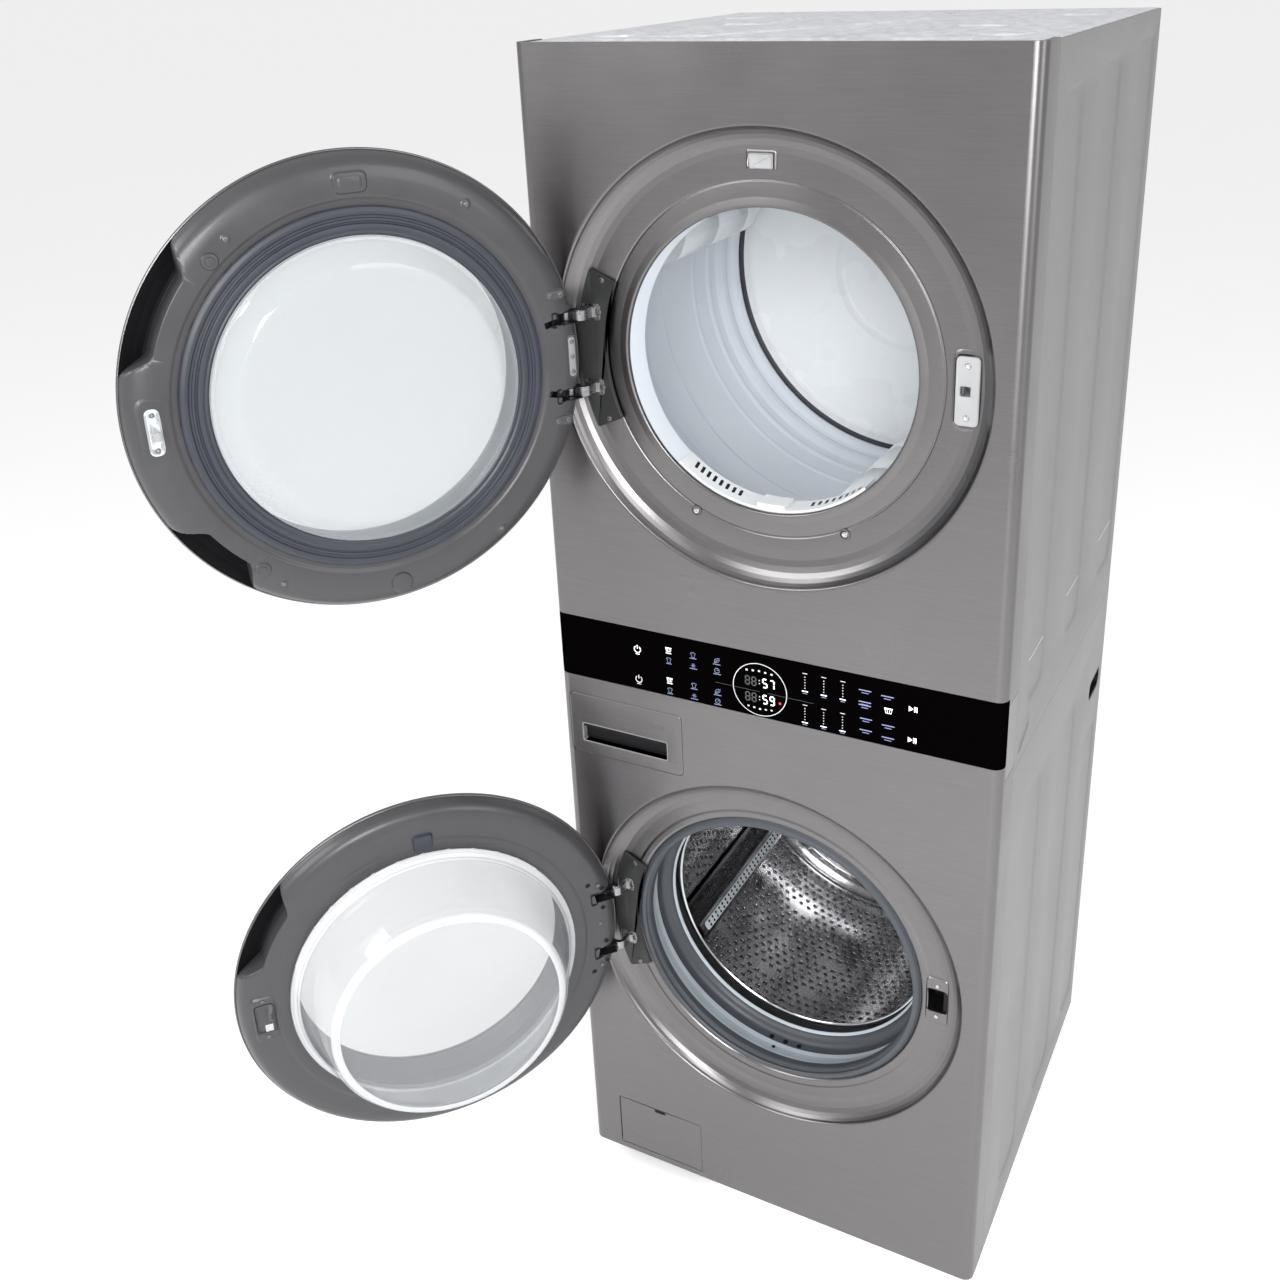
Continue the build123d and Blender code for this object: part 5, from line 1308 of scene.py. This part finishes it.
# Black lining and back of the drawer's grip slot: painted shade inside the slot.
slot_shade = wall(slot, 0.5, 10.4)
slot_shade.faces.new([slot_shade.verts.new((u, FRONT + 10.4, v)) for u, v in slot])
cover = rounded(*COVER, 157, 102, 3)
# Black rings behind the gaps round the drawer and the filter cover: painted shade in the gaps.
gap_shades = [panel(0.7, grown(edge, 0.95), [], [grown(edge, 0.3)]) for edge in (face, cover)]
publish("front_gap_shade", joined(*gap_shades), black_plastic, "cabinet")
publish("drawer_grip", slot_shade, black_plastic, "drawer")
blade = slab(rounded(-235, 887.5, 145, 5, 1), FRONT + 0.6, FRONT + 4)
publish("drawer_grip_edge", blade, black_plastic, "drawer", bevel=0.8)
marks = [placed(BASKET[0], -186 + 9 * k, 914, 0.7) for k in range(3)]
publish("drawer_marks", joined(*[slab(outline, FRONT - 0.15, FRONT) for outline in marks]), print_dim,
        "drawer")

finger = rounded(-208, 140.4, 20, 5, 2)
cover_loops = [(grown(cover, -1), -0.7), (grown(finger, 2), -0.7), (grown(finger, 0.8), -0.4)]
cover_pieces = [panel(0.7, cover, cover_loops, [finger]), wall(cover, 0.7, 2.4), panel(2.4, cover),
                wall(finger, 0.3, 1.2)]
for lug, pin in (((-279, -275), (-292.3, -278)), ((-142, -138), (-139, -124.7))):
    cover_pieces.append(slab(rounded(FRONT + 4, COVER_PIN[1], 3.9, 5.9, 1), *lug, "X"))
    cover_pieces.append(slab(circle(*COVER_PIN, 1.45, 24), *pin, "X"))
publish("cover_face", joined(*cover_pieces), graphite, "filter_cover", ["filter_cover"],
        sharp=30)
# Black floor of the finger slot in the filter cover: painted shade in the slot.
publish("finger_slot_shade", panel(1.2, grown(finger, 0.3)), black_plastic, "filter_cover")


# ---- Stage --------------------------------------------------------------------------------
def make_camera():
    """Camera at the photographer's place: above, to the right and in front of the tower."""
    data = bpy.data.cameras.new("camera")
    data.sensor_width = 36.0
    data.lens = 38.89
    data.shift_x = -0.0343
    data.shift_y = -0.0995
    data.clip_end = 500.0
    camera = bpy.data.objects.new("camera", data)
    azimuth, dip, roll = math.radians(28.04), math.radians(22.31), math.radians(-2.115)
    turn = Matrix.Rotation(azimuth, 3, "Z") @ Matrix.Rotation(math.pi / 2 - dip, 3, "X")
    turn = turn @ Matrix.Rotation(roll, 3, "Z")
    camera.matrix_world = Matrix.Translation((0.7124, -1.9044, 1.9959)) @ turn.to_4x4()
    bpy.context.scene.collection.objects.link(camera)
    bpy.context.scene.camera = camera


def make_floor():
    """Plain pale floor."""
    bm = bmesh.new()
    bmesh.ops.create_grid(bm, x_segments=8, y_segments=8, size=150)
    data = bpy.data.meshes.new("floor")
    bm.to_mesh(data)
    bm.free()
    floor = bpy.data.objects.new("floor", data)
    bpy.context.scene.collection.objects.link(floor)
    paint, tree, shader = blank("floor_paint", (0.93, 0.93, 0.935), 0.8)
    tint(tree, pattern(tree, 3, detail=2), (0.925, 0.925, 0.93), (0.935, 0.935, 0.94),
         shader.inputs["Base Color"])
    shader.inputs["Emission Color"].default_value = (1, 1, 1, 1)
    shader.inputs["Emission Strength"].default_value = 0.22
    data.materials.append(paint)


def soft_light(name, place, aim, size, power):
    """Large soft lamp pointed at a place."""
    data = bpy.data.lights.new(name, "AREA")
    data.shape = "RECTANGLE"
    data.size, data.size_y = size
    data.energy = power
    lamp = bpy.data.objects.new(name, data)
    lamp.location = place
    lamp.rotation_mode = "QUATERNION"
    lamp.rotation_quaternion = (Vector(aim) - Vector(place)).to_track_quat("-Z", "Y")
    bpy.context.scene.collection.objects.link(lamp)


def make_world():
    """Bright sky that fades towards the horizon."""
    world = bpy.data.worlds.new("studio")
    world.use_nodes = True
    bpy.context.scene.world = world
    tree = world.node_tree
    spots = tree.nodes.new("ShaderNodeTexCoord")
    parts = tree.nodes.new("ShaderNodeSeparateXYZ")
    ramp = tree.nodes.new("ShaderNodeValToRGB")
    tree.links.new(spots.outputs["Generated"], parts.inputs["Vector"])
    tree.links.new(parts.outputs["Z"], ramp.inputs["Fac"])
    ramp.color_ramp.elements[0].color = (0.62, 0.62, 0.63, 1)
    ramp.color_ramp.elements[1].color = (1.0, 1.0, 1.0, 1)
    ramp.color_ramp.elements[1].position = 0.8
    tree.links.new(ramp.outputs["Color"], tree.nodes["Background"].inputs["Color"])
    tree.nodes["Background"].inputs["Strength"].default_value = 0.75


make_camera()
make_floor()
make_world()
soft_light("key", (-2.2, -3.2, 3.6), (0, -0.2, 1.0), (2.4, 1.8), 85)
soft_light("fill", (3.4, -1.2, 2.6), (0.2, 0, 0.9), (1.6, 2.2), 40)
soft_light("front", (1.0, -3.0, 2.3), (0, 0, 1.3), (1.2, 1.2), 70)
bpy.context.scene.view_settings.view_transform = "Standard"
bpy.context.scene.cycles.use_denoising = True
